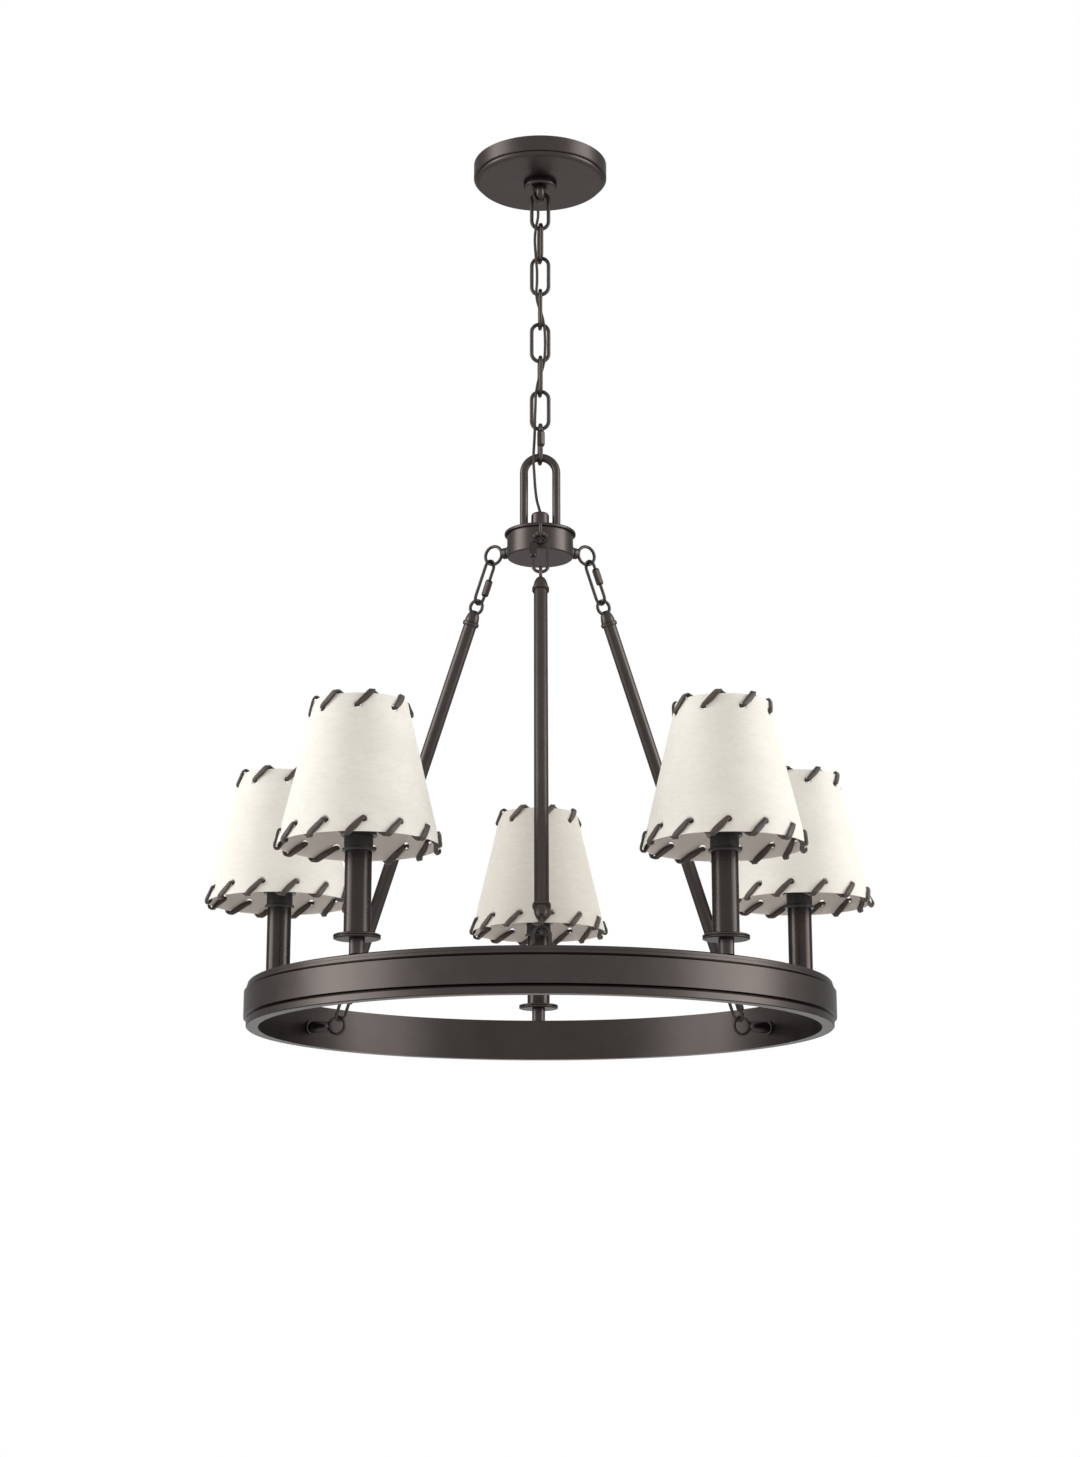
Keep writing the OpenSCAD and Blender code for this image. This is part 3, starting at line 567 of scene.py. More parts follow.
def mesh_object(
    name: str, points: Sequence[Sequence[float]], faces: Sequence[Sequence[int]], material: bpy.types.Material
) -> bpy.types.Object:
    """Makes a smooth mesh piece at the origin.

    Args:
        name: The piece's name.
        points: Its vertices, in metres.
        faces: Its faces, as places in points, outwards.
        material: Its finish.

    Returns:
        The linked object.
    """
    mesh = bpy.data.meshes.new(name)
    mesh.from_pydata([tuple(p) for p in points], [], [tuple(f) for f in faces])
    mesh.update()
    mesh.shade_smooth()
    mesh.materials.append(material)
    made = bpy.data.objects.new(name, mesh)
    bpy.context.scene.collection.objects.link(made)
    return made


def settle(piece: bpy.types.Object) -> None:
    """Turns a piece's modifiers into plain mesh.

    Args:
        piece: The piece, which keeps its name.
    """
    graph = bpy.context.evaluated_depsgraph_get()
    solved = piece.evaluated_get(graph)
    mesh = bpy.data.meshes.new_from_object(solved, preserve_all_data_layers=True, depsgraph=graph)
    piece.modifiers.clear()
    piece.data = mesh
    mesh.name = piece.name
    mesh.shade_smooth()


def bands(rows: int, around: int) -> list[list[int]]:
    """Joins rows of points, each of which goes round once, by faces.

    Args:
        rows: How many rows there are.
        around: How many points each has.

    Returns:
        The faces, row by row.
    """
    faces = []
    for low in range(0, (rows - 1) * around, around):
        for k in range(around):
            ahead = (k + 1) % around
            faces.append([low + k, low + ahead, low + around + ahead, low + around + k])
    return faces


def lathe(profiles: Iterable[Outline], sides: int) -> tuple[list[Vector], list[list[int]]]:
    """Turns closed profiles round the Z axis.

    Args:
        profiles: The corners (radius, height) of each, anticlockwise in the X-Z plane, in millimetres.
        sides: How many steps go round.

    Returns:
        The vertices, in metres, and the outward faces.
    """
    points: list[Vector] = []
    faces: list[list[int]] = []
    for profile in profiles:
        first, rows = len(points), len(profile)
        for i in range(sides):
            a = math.tau * i / sides
            points += [Vector((r * math.cos(a), r * math.sin(a), z)) * MM for r, z in profile]
            here, ahead = first + i * rows, first + (i + 1) % sides * rows
            for k in range(rows):
                after = (k + 1) % rows
                faces.append([here + k, ahead + k, ahead + after, here + after])
    return points, faces


def spline(knots: Sequence[Sequence[float]], at: float) -> Vector:
    """The point on the smooth curve through the knots.

    Args:
        knots: The points that the curve goes through.
        at: Where on it, counted in knots from the first.

    Returns:
        The point.
    """
    last = len(knots) - 1
    i = min(int(at), last - 1)
    t = at - i
    a, b, c, d = (Vector(knots[min(max(k, 0), last)]) for k in (i - 1, i, i + 1, i + 2))
    return 0.5 * (2 * b + (c - a) * t + (2 * a - 5 * b + 4 * c - d) * t**2 + (3 * b - a - 3 * c + d) * t**3)


def tube(
    line: Sequence[Vector], radius: float, sides: int
) -> tuple[list[Vector], list[list[int]], list[tuple]]:
    """A capped tube along a line, with its own coordinates round and along it.

    Args:
        line: The points of its middle.
        radius: Its radius.
        sides: How many sides it has.

    Returns:
        The vertices, the faces and, for each face, its (round, along) corners.
    """
    points, runs, run = [], [], 0.0
    normal = Vector((1, 0, 0))
    for i, p in enumerate(line):
        ahead = (line[min(i + 1, len(line) - 1)] - line[max(i - 1, 0)]).normalized()
        normal = (normal - ahead * normal.dot(ahead)).normalized()
        side = ahead.cross(normal)
        run += (p - line[i - 1]).length if i else 0
        runs.append(run)
        for k in range(sides):
            a = math.tau * k / sides
            points.append(p + (normal * math.cos(a) + side * math.sin(a)) * radius)
    faces = bands(len(line), sides)
    corners = [
        ((k / sides, low), ((k + 1) / sides, low), ((k + 1) / sides, high), (k / sides, high))
        for low, high in zip(runs, runs[1:])
        for k in range(sides)
    ]
    top = (len(line) - 1) * sides
    faces += [[top + k for k in range(sides)], list(reversed(range(sides)))]
    corners += [((0.0, runs[-1]),) * sides, ((0.0, 0.0),) * sides]
    return points, faces, corners


class Recipe(Nodes):
    """A geometry tree with named inputs, run on a piece as a modifier."""

    def __init__(self, name: str, sizes: dict[str, float]) -> None:
        """Makes the tree.

        Args:
            name: The tree's name.
            sizes: The value of each named input, whose kind follows the number's own.
        """
        super().__init__(bpy.data.node_groups.new(name, "GeometryNodeTree"))
        ports = self.tree.interface
        ports.new_socket("Geometry", in_out="OUTPUT", socket_type="NodeSocketGeometry")
        ports.new_socket("Geometry", in_out="INPUT", socket_type="NodeSocketGeometry")
        self.sizes = {}
        for key, value in sizes.items():
            kind = "NodeSocketInt" if isinstance(value, int) else "NodeSocketFloat"
            self.sizes[key] = (ports.new_socket(key, in_out="INPUT", socket_type=kind).identifier, value)
        self.entry = self.node("NodeGroupInput")

    def size(self, name: str) -> Value:
        """One of the named inputs."""
        return Value(self, self.entry.outputs[name])

    def close(self, geometry: bpy.types.NodeSocket, material: bpy.types.Material) -> None:
        """Ends the tree with real meshes in one material.

        Args:
            geometry: The link that carries the finished shape.
            material: Its finish.
        """
        real = self.node("GeometryNodeRealizeInstances", None, {0: geometry}).outputs[0]
        painted = self.node("GeometryNodeSetMaterial", None, {"Geometry": real, "Material": material})
        self.node("NodeGroupOutput", None, {0: painted.outputs[0]})

    def run(self, piece: bpy.types.Object, sizes: dict[str, float]) -> None:
        """Puts the tree on a piece.

        Args:
            piece: The piece.
            sizes: Its own values for some of the inputs.
        """
        modifier = piece.modifiers.new(self.tree.name, "NODES")
        modifier.node_group = self.tree
        for key, (identifier, value) in self.sizes.items():
            modifier[identifier] = sizes.get(key, value)


# The studio


@dataclass(frozen=True)
class Softbox:
    """A soft lamp that looks at the object, with sizes in metres.

    Attributes:
        name: The lamp's name.
        bearing: Where it stands, in degrees to the right of the camera's side.
        distance: How far it stands from the object's axis.
        size: Its width and height.
        up: The height of its middle.
        glow: How bright its face is, with white as 1.
        lit: Whether it lights matt surfaces too, or shows only as a reflection.
    """

    name: str
    bearing: float
    distance: float
    size: tuple[float, float]
    up: float
    glow: float
    lit: bool = True

    def hang(self, aim: Point, colour: Colour) -> None:
        """Hangs the lamp.

        Args:
            aim: The point that it looks at.
            colour: The colour of its light.
        """
        width, height = self.size
        data = bpy.data.lights.new(self.name, "AREA")
        data.shape, data.size, data.size_y = "RECTANGLE", width, height
        data.energy = self.glow * math.pi * width * height
        data.color = colour
        made = bpy.data.objects.new(self.name, data)
        turn = math.radians(self.bearing)
        made.location = (self.distance * math.sin(turn), -self.distance * math.cos(turn), self.up)
        made.rotation_euler = (Vector(aim) - made.location).to_track_quat("-Z", "Y").to_euler()
        made.visible_camera = False
        made.visible_diffuse = self.lit
        bpy.context.scene.collection.objects.link(made)


@dataclass
class Studio:
    """Camera, floor, soft lamps and white surroundings, with sizes in metres where no unit is named.

    Attributes:
        eye: The camera's place.
        tilt: Its turn from looking straight down, in degrees.
        swing: Its turn to the left, in degrees.
        lens: Its focal length, in millimetres.
        film: The width of its picture on the film, in millimetres.
        floor_z: The floor's height.
        floor_size: The floor's side.
        floor_colour: The floor's colour near the object.
        floor_fade: Where the floor begins to turn white and where it is white, from the object's axis.
        surround: How bright the room is for the object's matt surfaces.
        room_colour: The colour of the room's light.
        lamp_colour: The colour of the lamps' light.
        aim: The point that the lamps look at.
    """

    eye: Point = (-0.0132, -2.1405, -1.0715)
    tilt: float = 103.56
    swing: float = -0.35
    lens: float = 60.0
    film: float = 36.0
    floor_z: float = -2.6
    floor_size: float = 14.0
    floor_colour: Colour = (0.92, 0.92, 0.91)
    floor_fade: tuple[float, float] = (1.2, 4.0)
    surround: float = 0.7
    room_colour: Colour = (1.0, 0.98, 0.95)
    lamp_colour: Colour = (0.975, 0.985, 0.99)
    aim: Point = (0, 0, -0.45)

    def build(self) -> None:
        """Makes the whole studio."""
        bpy.context.scene.view_settings.view_transform = "Standard"
        self.camera()
        self.floor()
        self.world()
        for lamp in self.lamps():
            lamp.hang(self.aim, self.lamp_colour)

    def lamps(self) -> list[Softbox]:
        """Lists a lamp and a reflected card for each side, and a low lamp behind for the undersides.

        Returns:
            The lamps, from the left.
        """
        soft = Softbox("soft", bearing=84, distance=3.6, size=(1.2, 3.2), up=0.35, glow=6.8)
        card = replace(soft, name="card", bearing=65, size=(1.1, 3.2), glow=4.0, lit=False)
        back = Softbox("soft_back", bearing=180, distance=4.2, size=(3.4, 1.0), up=-2.05, glow=1.4)
        pairs = [
            replace(lamp, name=f"{lamp.name}_{name}", bearing=lamp.bearing * side)
            for name, side in (("left", -1), ("right", 1))
            for lamp in (soft, card)
        ]
        return [*pairs, back]

    def camera(self) -> None:
        """Stands the camera where the photograph was taken."""
        data = bpy.data.cameras.new("camera")
        data.lens, data.sensor_width = self.lens, self.film
        made = bpy.data.objects.new("camera", data)
        made.location = self.eye
        made.rotation_euler = (math.radians(self.tilt), 0, math.radians(self.swing))
        bpy.context.scene.collection.objects.link(made)
        bpy.context.scene.camera = made

    def white_for_view(self, nodes: Nodes, shader: bpy.types.NodeSocket) -> bpy.types.NodeSocket:
        """Shows white to the camera and in reflections, and the given shader to all other light.

        Args:
            nodes: The tree that it is for.
            shader: The shader for all other light.

        Returns:
            The mixed shader.
        """
        path = nodes.node("ShaderNodeLightPath")
        seen = Value(nodes, path.outputs["Is Camera Ray"])
        for ray in ("Is Glossy Ray", "Is Transmission Ray"):
            seen = seen.math("MAXIMUM", seen, Value(nodes, path.outputs[ray]))
        white = nodes.node("ShaderNodeEmission", None, {"Color": (1, 1, 1, 1), "Strength": 1.0}).outputs[0]
        return nodes.node("ShaderNodeMixShader", None, {0: seen, 1: shader, 2: white}).outputs[0]

    def world(self) -> None:
        """A white background round a plain grey room."""
        world = bpy.data.worlds.new("studio")
        bpy.context.scene.world = world
        world.use_nodes = True
        world.node_tree.nodes.clear()
        nodes = Nodes(world.node_tree)
        light = {"Color": (*self.room_colour, 1), "Strength": self.surround}
        room = nodes.node("ShaderNodeBackground", None, light).outputs[0]
        nodes.node("ShaderNodeOutputWorld", None, {"Surface": self.white_for_view(nodes, room)})

    def floor(self) -> None:
        """A plain pale floor that keeps the object's shadow and turns white further out."""
        half = self.floor_size / 2
        corners = [(x * half, y * half, self.floor_z) for x, y in ((-1, -1), (1, -1), (1, 1), (-1, 1))]
        surface = Surface("pale_floor")
        flat = surface.stretched((1, 1, 0))
        away = surface.value("ShaderNodeVectorMath", {"operation": "LENGTH"}, {0: flat}, "Value")
        pale = surface.node("ShaderNodeBsdfDiffuse", None, {"Color": (*self.floor_colour, 1)}).outputs[0]
        ends = {0: away.eased(*self.floor_fade), 1: pale, 2: self.white_for_view(surface, pale)}
        mixed = surface.node("ShaderNodeMixShader", None, ends).outputs[0]
        surface.node("ShaderNodeOutputMaterial", None, {"Surface": mixed})
        mesh_object("floor", corners, [[0, 1, 2, 3]], surface.material)


# The object's pieces


@dataclass
class SupplyCord:
    """The woven supply cord that is threaded down the chain, in stretches, each across one hinge.

    Attributes:
        route: The points that it follows, in millimetres.
        cuts: Where the stretches meet, counted in points of the route.
        hub_hinge: The height of the hub's hinge, in millimetres; not used.
        held: How much of each stretch's ends would keep to one body, in millimetres; not used.
        diameter: The cord's diameter, in millimetres.
        steps: Steps between two points of the route.
        sides: Sides round the cord.
    """

    route: tuple[Point, ...] = (
        (-6.5, -5.5, -8), (-6.5, -5.5, -17), (-6.5, -5.5, -26), (-5.8, -5.2, -34),
        (-2.6, -4.4, -44), (-2, -4, -54), (-3.9, -3.8, -65),
        (-5, -3.6, -76), (-4.6, -3.6, -88), (-3.8, -3.8, -99),
        (-3, -3.6, -110), (-3, -3.6, -122), (-3.6, -3.6, -133),
        (-2, -2.6, -143), (1.6, -2.4, -154), (3.9, -3.7, -167),
        (4.6, -4, -178), (4.6, -4, -189), (3.9, -3.8, -200),
        (2, -2.6, -209), (-1.6, -2.4, -220), (-3.9, -3.7, -234),
        (-4.4, -4.2, -246), (-4.8, -4.2, -257), (-5, -4.1, -268),
        (-5.4, -4.4, -280), (-6, -5.4, -291), (-6.2, -6.2, -302),
        (-5.4, -4.8, -314), (-4.6, -3, -326), (-3, -1.2, -338),
        (0, 0, -350), (0, 0, -361),
    )
    cuts: tuple[float, ...] = (0, 4.5, 7.5, 10.5, 13.5, 16.5, 19.5, 22.5, 25.5, 32)
    hub_hinge: float = -322.0
    held: float = 2.0
    diameter: float = 2.6
    steps: int = 9
    sides: int = 20

    def line(self, first: float, last: float) -> list[Vector]:
        """Points a millimetre or so apart along one stretch, in metres."""
        steps = round((last - first) * self.steps)
        return [spline(self.route, first + (last - first) * i / steps) * MM for i in range(steps + 1)]

    def stretch(self, name: str, line: Sequence[Vector], finishes: Finishes) -> bpy.types.Object:
        """Makes one stretch, with its coordinates round and along the cord.

        Args:
            name: The piece's name.
            line: The points of its middle, in metres.
            finishes: The materials.

        Returns:
            The stretch.
        """
        points, faces, corners = tube(line, self.diameter / 2 * MM, self.sides)
        piece = mesh_object(name, points, faces, finishes[Slot.CORD])
        coords = piece.data.uv_layers.new(name="along_cord")
        for face, places in zip(piece.data.polygons, corners, strict=True):
            for loop, place in zip(face.loop_indices, places, strict=True):
                coords.data[loop].uv = place
        return piece

    def build(self, finishes: Finishes) -> list[bpy.types.Object]:
        """Makes the stretches, each across one hinge of the chain.

        Args:
            finishes: The materials.

        Returns:
            The stretches, from the ceiling down.
        """
        bodies = ["ceiling_plate", *(f"link_{i}" for i in range(1, 9)), "hub"]
        last, held = len(bodies) - 1, self.held * MM
        made = []
        for k in range(1, last + 1):
            line = self.line(self.cuts[k - 1], self.cuts[k])
            piece = self.stretch(f"supply_cord_{k}", line, finishes)
            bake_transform(piece)
            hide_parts(*([f"cord_{k - 1}", f"cord_{k}"] if k == last else [f"cord_{k - 1}"]))
            length = sum((b - a).length for a, b in zip(line, line[1:]))
            made.append(piece)
        return made


@dataclass
class Lamps:
    """Where the five lamps stand on the ring, and the sizes that the shades and laces share, in millimetres.

    Attributes:
        count: How many lamps there are.
        radius: The radius that they stand on.
        lace_turn: The turn of each shade's stitches, in degrees.
        bottom_z: The height of a shade's lower edge.
        height: A shade's height.
        bottom_d: Its outer diameter at the bottom.
        top_d: Its outer diameter at the top.
        wall: Its wall's thickness.
        holes: Punched holes along each rim.
        hole_in: How far the holes are from the edge.
        hole_d: The holes' diameter.
    """

    count: int = 5
    radius: float = 252.4
    lace_turn: tuple[float, ...] = (4, 12, 0, 19, 8)
    bottom_z: float = -703.0
    height: float = 119.2
    bottom_d: float = 133.0
    top_d: float = 77.2
    wall: float = 1.2
    holes: dict[Rim, int] = field(default_factory=lambda: {Rim.BOTTOM: 13, Rim.TOP: 8})
    hole_in: float = 11.0
    hole_d: float = 5.2

    def __post_init__(self) -> None:
        """Works out the wall's lean and its slanted height."""
        self.lean = math.atan((self.bottom_d - self.top_d) / 2 / self.height)
        self.slant = self.height / math.cos(self.lean)

    def rim_r(self, rim: Rim) -> float:
        """A rim's outer radius."""
        return (self.bottom_d if rim is Rim.BOTTOM else self.top_d) / 2

    def row_r(self, rim: Rim) -> float:
        """The wall's outer radius at a rim's holes."""
        return self.rim_r(rim) + rim.value * self.hole_in * math.sin(self.lean)

    def centre(self, lamp: int) -> Vector:
        """The foot of a lamp's axis on the plane of the ceiling, in metres."""
        bearing = math.radians(90 + 360 / self.count * lamp)
        return Vector((math.cos(bearing), math.sin(bearing), 0)) * self.radius * MM

    def turned(self, piece: bpy.types.Object, lamp: int) -> None:
        """Turns a piece's mesh round the frame's axis, as a lamp's stitches are turned."""
        piece.data.transform(Matrix.Rotation(math.radians(self.lace_turn[lamp]), 4, "Z"))

    def placed(self, piece: bpy.types.Object, lamp: int) -> None:
        """Moves a piece's mesh from the frame's axis to a lamp's axis."""
        piece.data.transform(Matrix.Translation(self.centre(lamp)))


@dataclass
class Shades:
    """The leather cones: a wall whose rims are punched for the lace, with sizes in millimetres.

    Attributes:
        lamps: The sizes shared with the laces.
        columns: Steps round the wall, a multiple of both rims' holes.
        low_rows: The wall's lowest rows, as ways up its slant.
        high_rows: Its highest rows, as ways down from the upper edge.
        spans: How many steps lie between those rows.
        widened: How much larger a hole is drawn, because smoothing narrows it.
        reach: How far from a hole's middle the wall is drawn towards its edge.
        painted_shade_shares: How far painted shade darkens each lampshade's hide towards the deep colour,
            most on the back one.
    """

    lamps: Lamps
    columns: int = 104
    low_rows: tuple[float, ...] = (0, 0.7, 4.0, 7.8, 11, 14.2, 18)
    high_rows: tuple[float, ...] = (16, 13.4, 11, 8.6, 6, 0.7, 0)
    spans: int = 12
    widened: float = 1.11
    reach: dict[Rim, float] = field(default_factory=lambda: {Rim.BOTTOM: 6.0, Rim.TOP: 4.2})
    # Painted shade, strongest on the back lampshade.
    painted_shade_shares: tuple[float, ...] = (0.85, 0.06, 0.0, 0.04, 0.08)

    def rows(self) -> list[float]:
        """Ways up the slant to the wall's rows, which lie closer together at the holes and edges."""
        low, high = list(self.low_rows), [self.lamps.slant - s for s in self.high_rows]
        return low + [low[-1] + (high[0] - low[-1]) * i / self.spans for i in range(1, self.spans)] + high

    def rim_sizes(self, rim: Rim) -> dict[str, float]:
        """Works out the punch's inputs for one rim.

        Args:
            rim: The rim.

        Returns:
            The inputs by name, in metres.
        """
        lamps = self.lamps
        up = lamps.hole_in if rim is Rim.BOTTOM else lamps.slant - lamps.hole_in
        return {
            "Holes": lamps.holes[rim],
            "Row": up * MM,
            "Wall Radius": lamps.row_r(rim) * MM,
            "Hole Radius": lamps.hole_d / 2 * self.widened * MM,
            "Reach": self.reach[rim] * MM,
        }

    def punch(self, finishes: Finishes) -> Recipe:
        """Makes a geometry tree that punches one row of holes round a cone's wall.

        Args:
            finishes: The materials.

        Returns:
            The tree, with the row's count and sizes as inputs.
        """
        fixed = {"Lean": self.lamps.lean, "Middle": 0.0003, "Speck": 0.000001}
        recipe = Recipe("punched_rim", self.rim_sizes(Rim.BOTTOM) | fixed)
        round_it = recipe.value("GeometryNodeInputNamedAttribute", None, {"Name": "round_it"})
        up_it = recipe.value("GeometryNodeInputNamedAttribute", None, {"Name": "up_it"})
        pitch = math.tau / recipe.size("Holes")
        off = round_it / pitch - (round_it / pitch).apply("ROUND")
        from_hole = off * pitch * recipe.size("Wall Radius")
        above = up_it - recipe.size("Row")
        away = (from_hole * from_hole + above * above).apply("SQRT")
        drawn = recipe.size("Hole Radius") / (away + recipe.size("Speck")) - 1
        cos_a, sin_a = round_it.apply("COSINE"), round_it.apply("SINE")
        cos_l, sin_l = recipe.size("Lean").apply("COSINE"), recipe.size("Lean").apply("SINE")
        aside, along = from_hole * drawn, above * drawn
        x = 0 - aside * sin_a - along * sin_l * cos_a
        y = aside * cos_a - along * sin_l * sin_a
        shift = recipe.node("ShaderNodeCombineXYZ", None, {0: x, 1: y, 2: along * cos_l}).outputs[0]
        middle = {"Geometry": recipe.entry.outputs["Geometry"], "Selection": away < recipe.size("Middle")}
        holed = recipe.node("GeometryNodeDeleteGeometry", {"domain": "POINT"}, middle).outputs[0]
        near = {"Geometry": holed, "Selection": away < recipe.size("Reach"), "Offset": shift}
        recipe.close(recipe.node("GeometryNodeSetPosition", None, near).outputs[0], finishes[Slot.SHADE])
        return recipe

    def wall(self, lamp: int, finishes: Finishes) -> bpy.types.Object:
        """Makes the plain outer wall of one shade, with the coordinates that the punch reads.

        Args:
            lamp: The shade's lamp.
            finishes: The materials.

        Returns:
            The wall, on the frame's axis.
        """
        lamps, rows, n = self.lamps, self.rows(), self.columns
        points, rounds, ups = [], [], []
        for s in rows:
            r = lamps.bottom_d / 2 - s * math.sin(lamps.lean)
            z = lamps.bottom_z + s * math.cos(lamps.lean)
            for k in range(n):
                a = math.tau * k / n
                points.append(Vector((r * math.cos(a), r * math.sin(a), z)) * MM)
                rounds.append(a)
                ups.append(s * MM)
        piece = mesh_object(f"shade_{lamp + 1}", points, bands(len(rows), n), finishes[Slot.SHADE])
        for name, values in (("round_it", rounds), ("up_it", ups)):
            piece.data.attributes.new(name, "FLOAT", "POINT").data.foreach_set("value", values)
        return piece

    def marked(self, piece: bpy.types.Object, painted_shade_share: float) -> None:
        """Marks the inner side and the painted shade on the wall's faces, in place of the punch's
        coordinates.

        Args:
            piece: The shade, on the frame's axis.
            painted_shade_share: How far painted shade darkens its hide.
        """
        mesh = piece.data
        for name in ("round_it", "up_it"):
            mesh.attributes.remove(mesh.attributes[name])
        inner = [float(face.normal.xy.dot(face.center.xy) < 0) for face in mesh.polygons]
        for name, values in ((INNER_SIDE, inner), (PAINTED_HIDE_SHADE, [painted_shade_share] * len(inner))):
            mesh.attributes.new(name, "FLOAT", "FACE").data.foreach_set("value", values)

    def build(self, finishes: Finishes) -> list[bpy.types.Object]:
        """Makes the five shades.

        Args:
            finishes: The materials.

        Returns:
            The shades.
        """
        recipe, made = self.punch(finishes), []
        for lamp, painted_shade_share in enumerate(self.painted_shade_shares):
            piece = self.wall(lamp, finishes)
            for rim in Rim:
                recipe.run(piece, self.rim_sizes(rim))
            thick = piece.modifiers.new("thickness", "SOLIDIFY")
            thick.thickness, thick.offset = self.lamps.wall * MM, -1.0
            soft = piece.modifiers.new("soft", "SUBSURF")
            soft.levels = soft.render_levels = 1
            settle(piece)
            self.marked(piece, painted_shade_share)
            self.lamps.turned(piece, lamp)
            self.lamps.placed(piece, lamp)
            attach(piece, "ring")
            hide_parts("shades")
            made.append(piece)
        return made


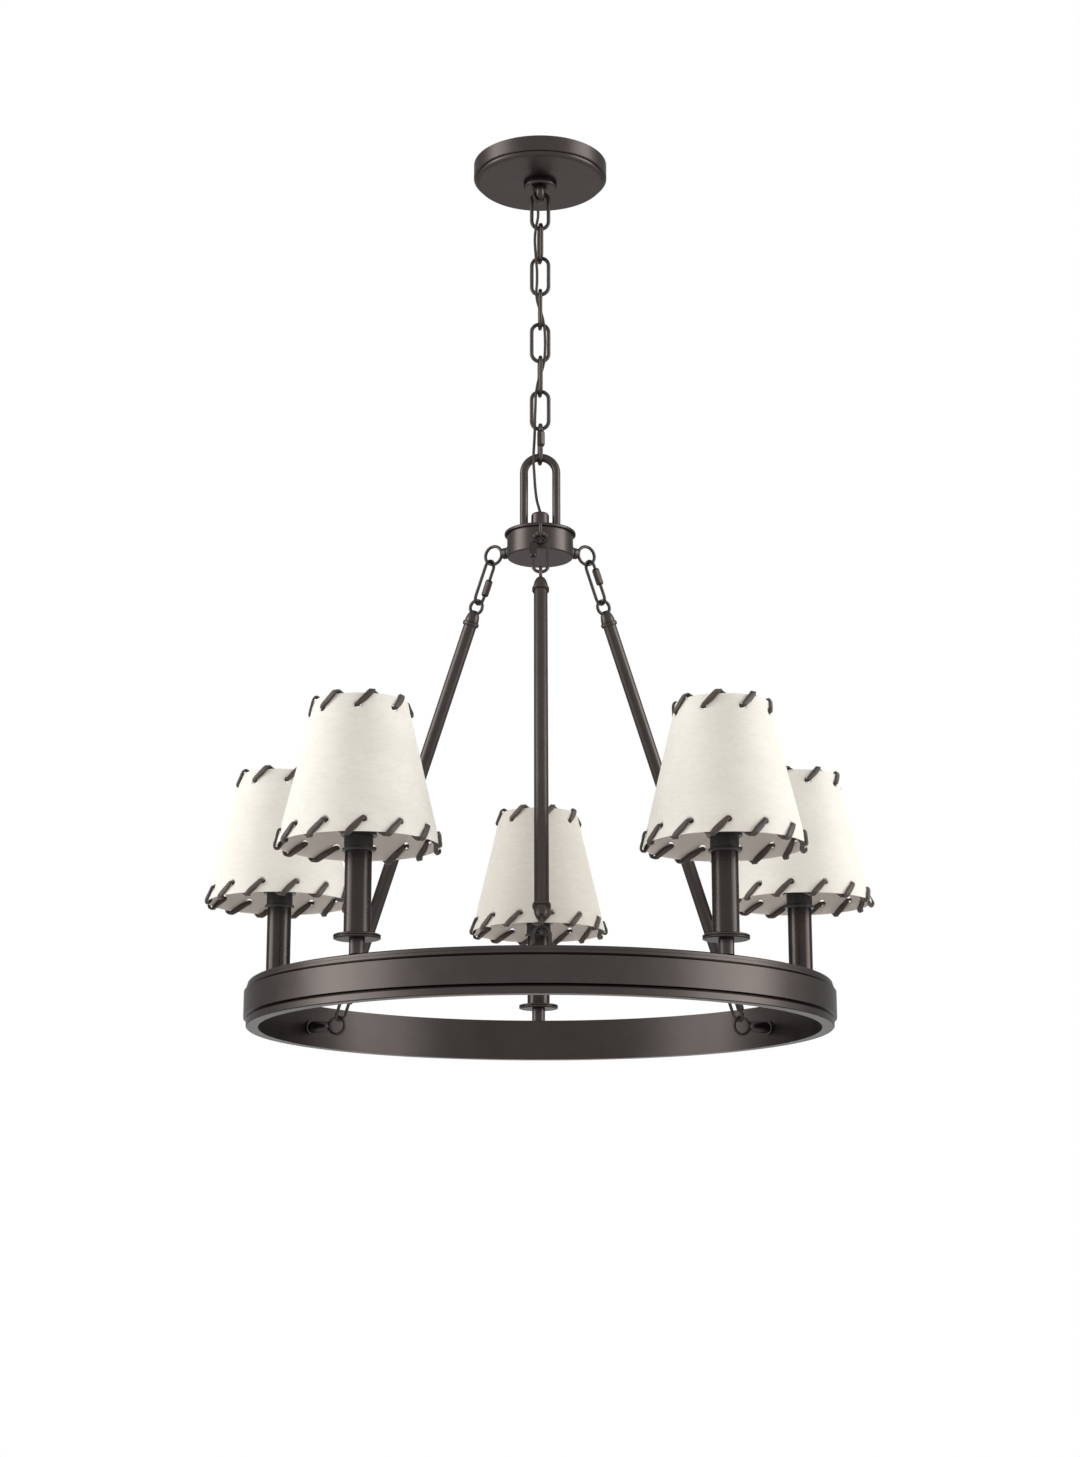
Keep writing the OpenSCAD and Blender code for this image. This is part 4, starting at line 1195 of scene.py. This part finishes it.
@dataclass
class Laces:
    """The dark laces that whip over both rims of each shade, with sizes in millimetres.

    Attributes:
        lamps: The sizes shared with the shades.
        width: The lace's width.
        thick: Its thickness.
        gap: Its distance from the wall.
        stitch: One stitch: share of the way round, way in from the edge in hole distances,
            side of the wall, the way that its flat side looks and the share of the lace's width.
        section: The lace's cross-section, in shares of its width and thickness.
        steps: Steps between two points of the stitch.
        lead: Points before and after the stitch that its curve takes into account.
        near: How far along the curve its direction is taken, in points of the stitch.
        seed: The seed of the first lamp's unevenness.
    """

    lamps: Lamps
    width: float = 5.3
    thick: float = 2.0
    gap: float = 0.1
    stitch: tuple[tuple[float, float, float, tuple[float, float], float], ...] = (
        (0, 1, 0, (0, 1), 0.7),
        (0.03, 0.94, 1.1, (1, 0.35), 0.72),
        (0.19, 0.45, 1, (1, 0), 1),
        (0.35, -0.07, 1.1, (1, -0.35), 0.95),
        (0.4, -0.22, 0, (0, -1), 0.9),
        (0.45, -0.07, -1.1, (-1, -0.35), 0.95),
        (0.7, 0.45, -1, (-1, 0), 1),
        (0.97, 0.94, -1.1, (-1, 0.35), 0.72),
    )
    section: tuple[tuple[float, float], ...] = (
        (0.5, 0.28), (0.42, 0.5), (0, 0.56), (-0.42, 0.5), (-0.5, 0.28),
        (-0.5, -0.28), (-0.42, -0.5), (0, -0.5), (0.42, -0.5), (0.5, -0.28),
    )
    steps: int = 5
    lead: int = 3
    near: float = 0.05
    seed: int = 3

    def knot(self, i: int, rim: Rim, count: int) -> tuple[Vector, Vector, Vector]:
        """Works out one point of the lace, the way that its flat side looks there and its width.

        Args:
            i: The point's place, counted on from the first stitch.
            rim: The rim that the lace winds round.
            count: The rim's stitches.

        Returns:
            The point, a unit vector and the width as a vector's first part.
        """
        lamps, way = self.lamps, rim.value
        share, inward, side, look, broad = self.stitch[i % len(self.stitch)]
        turn = way * math.tau / count * (i // len(self.stitch) + share)
        stand_off = lamps.wall / 2 + self.thick / 2 + self.gap
        sn, cs = math.sin(lamps.lean), math.cos(lamps.lean)
        rim_z = lamps.bottom_z + (0 if rim is Rim.BOTTOM else lamps.height)
        r = lamps.rim_r(rim) - lamps.wall / 2 + way * inward * lamps.hole_in * sn + side * stand_off * cs
        z = rim_z - way * inward * lamps.hole_in * cs + side * stand_off * sn
        flat = Vector(look).normalized()
        n_r, n_z = flat.x * cs + way * flat.y * sn, flat.x * sn - way * flat.y * cs
        return (
            Vector((r * math.cos(turn), r * math.sin(turn), z)),
            Vector((n_r * math.cos(turn), n_r * math.sin(turn), n_z)),
            Vector((broad * self.width, 0, 0)),
        )

    def template(self, rim: Rim, count: int, name: str, finishes: Finishes) -> bpy.types.Object:
        """Makes one stitch as a rounded strap, whose ends meet those of its neighbours.

        Args:
            rim: The rim that the lace winds round.
            count: The rim's stitches.
            name: The piece's name.
            finishes: The materials.

        Returns:
            The stitch.
        """
        size = len(self.stitch)
        knots = [self.knot(i, rim, count) for i in range(-self.lead, size + self.lead + 1)]
        middles, looks, widths = ([knot[part] for knot in knots] for part in range(3))
        points, rings = [], size * self.steps + 1
        for i in range(rings):
            at = self.lead + i / self.steps
            p = spline(middles, at)
            ahead = spline(middles, at + self.near) - spline(middles, at - self.near)
            across = ahead.cross(spline(looks, at)).normalized()
            face = across.cross(ahead).normalized()
            width = spline(widths, at).x
            points += [(p + across * x * width + face * y * self.thick) * MM for x, y in self.section]
        return mesh_object(name, points, bands(rings, len(self.section)), finishes[Slot.LACE])

    def winding(self, finishes: Finishes) -> Recipe:
        """Makes a geometry tree that repeats one stitch round the axis and closes the lace.

        Args:
            finishes: The materials.

        Returns:
            The tree, with the count, the way round, the unevenness and its seed as inputs.
        """
        count = self.lamps.holes[Rim.BOTTOM]
        sizes = {"Stitches": count, "Way": 1.0, "Join": 0.00002, "Unevenness": 0.0005, "Seed": self.seed}
        recipe = Recipe("lace_winding", sizes | {"Waves": 120.0})
        index = Value(recipe, recipe.node("GeometryNodeInputIndex").outputs[0])
        turn = index * math.tau / recipe.size("Stitches") * recipe.size("Way")
        copies = {
            "Points": recipe.node("GeometryNodePoints", None, {"Count": recipe.size("Stitches")}).outputs[0],
            "Instance": recipe.entry.outputs["Geometry"],
            "Rotation": recipe.node("ShaderNodeCombineXYZ", None, {2: turn}).outputs[0],
        }
        placed = recipe.node("GeometryNodeInstanceOnPoints", None, copies).outputs[0]
        real = recipe.node("GeometryNodeRealizeInstances", None, {0: placed}).outputs[0]
        near = {"Geometry": real, "Distance": recipe.size("Join")}
        joined = recipe.node("GeometryNodeMergeByDistance", None, near).outputs[0]
        waves = {
            "Vector": recipe.node("GeometryNodeInputPosition").outputs[0],
            "W": recipe.size("Seed"),
            "Scale": recipe.size("Waves"),
            "Detail": 2.0,
        }
        sway = recipe.node("ShaderNodeTexNoise", {"noise_dimensions": "4D"}, waves).outputs["Color"]
        ends = {0: sway, 1: (0.5, 0.5, 0.5)}
        centred = recipe.node("ShaderNodeVectorMath", {"operation": "SUBTRACT"}, ends).outputs[0]
        scaled = {0: centred, "Scale": recipe.size("Unevenness")}
        shift = recipe.node("ShaderNodeVectorMath", {"operation": "SCALE"}, scaled).outputs[0]
        swayed = recipe.node("GeometryNodeSetPosition", None, {"Geometry": joined, "Offset": shift})
        recipe.close(swayed.outputs[0], finishes[Slot.LACE])
        return recipe

    def build(self, finishes: Finishes) -> list[bpy.types.Object]:
        """Makes both laces of each shade.

        Args:
            finishes: The materials.

        Returns:
            The laces.
        """
        recipe, made = self.winding(finishes), []
        for lamp in range(self.lamps.count):
            for rim, count in self.lamps.holes.items():
                piece = self.template(rim, count, f"lace_{rim.name.lower()}_{lamp + 1}", finishes)
                recipe.run(piece, {"Stitches": count, "Way": float(rim.value), "Seed": self.seed + lamp})
                settle(piece)
                self.lamps.turned(piece, lamp)
                self.lamps.placed(piece, lamp)
                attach(piece, "ring")
                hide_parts("laces")
                made.append(piece)
        return made


@dataclass
class SocketShells:
    """The brass screw shell and the centre contact in the bore of each socket, with sizes in millimetres.

    Attributes:
        lamps: Where the sockets stand.
        top: The height of a socket's mouth.
        depth: The depth of its bore.
        below: How far below the mouth the shell ends.
        crest: The shell's largest outer radius.
        wave: Half the depth of its thread.
        wall: Its thickness.
        pitch: The thread's pitch.
        turns: How many turns of the thread show.
        steps: Steps along each turn's wave.
        seat: The contact's distance from the bore's floor.
        dome: The contact's outline: radius and height above its seat.
        sides: Steps round the axis.
    """

    lamps: Lamps
    top: float = -648.5
    depth: float = 26.0
    below: float = 3.0
    crest: float = 6.5
    wave: float = 0.3
    wall: float = 0.25
    pitch: float = 2.54
    turns: int = 7
    steps: int = 6
    seat: float = 0.05
    dome: tuple[tuple[float, float], ...] = ((0.01, 0), (2.4, 0), (2.4, 0.5), (1.44, 1.3), (0.01, 1.5))
    sides: int = 40

    def profiles(self) -> list[Outline]:
        """Works out the outlines of the shell's waved wall and of the domed contact.

        Returns:
            The two closed outlines.
        """
        low = self.top - self.below - self.turns * self.pitch
        outer = []
        for i in range(self.steps * self.turns + 1):
            swell = self.wave * math.cos(math.tau * i / self.steps)
            outer.append((self.crest - self.wave + swell, low + self.pitch * i / self.steps))
        floor = self.top - self.depth + self.seat
        inner = [(r - self.wall, z) for r, z in reversed(outer)]
        return [outer + inner, [(r, floor + z) for r, z in self.dome]]

    def build(self, finishes: Finishes) -> list[bpy.types.Object]:
        """Makes one shell with its contact for each socket.

        Args:
            finishes: The materials.

        Returns:
            The shells.
        """
        made = []
        for lamp in range(self.lamps.count):
            points, faces = lathe(self.profiles(), self.sides)
            piece = mesh_object(f"socket_shell_{lamp + 1}", points, faces, finishes[Slot.BRASS])
            self.lamps.placed(piece, lamp)
            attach(piece, "ring")
            made.append(piece)
        return made


class Hardware:
    """The CAD nodes that stay: every metal and moulded piece, given its finish."""

    def build(self, finishes: Finishes) -> list[str]:
        """Puts the finishes on the nodes' own material slots.

        Args:
            finishes: The materials.

        Returns:
            A line for each slot, which says what it was and what it became.
        """
        named = {slot.value: slot for slot in Slot}
        done = []
        for name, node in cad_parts.items():
            for place in node.material_slots:
                base = place.material.name.split(".")[0] if place.material else ""
                found = next((slot for key, slot in named.items() if key in base), Slot.BRONZE)
                place.material = finishes.of_node(name, found)
                done.append(f"{name}:{base}->{found.value}")
        return done


def main() -> None:
    """Builds the studio and the pieces in order."""
    logging.basicConfig(level=logging.INFO, format="%(message)s")
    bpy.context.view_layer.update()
    Studio().build()
    finishes = Finishes()
    lamps = Lamps()
    for part in (SupplyCord(), Shades(lamps), Laces(lamps), SocketShells(lamps)):
        for piece in part.build(finishes):
            LOG.info("%s: %d faces", piece.name, len(piece.data.polygons))
    for line in Hardware().build(finishes):
        LOG.info("%s", line)


if __name__ == "__main__":
    main()
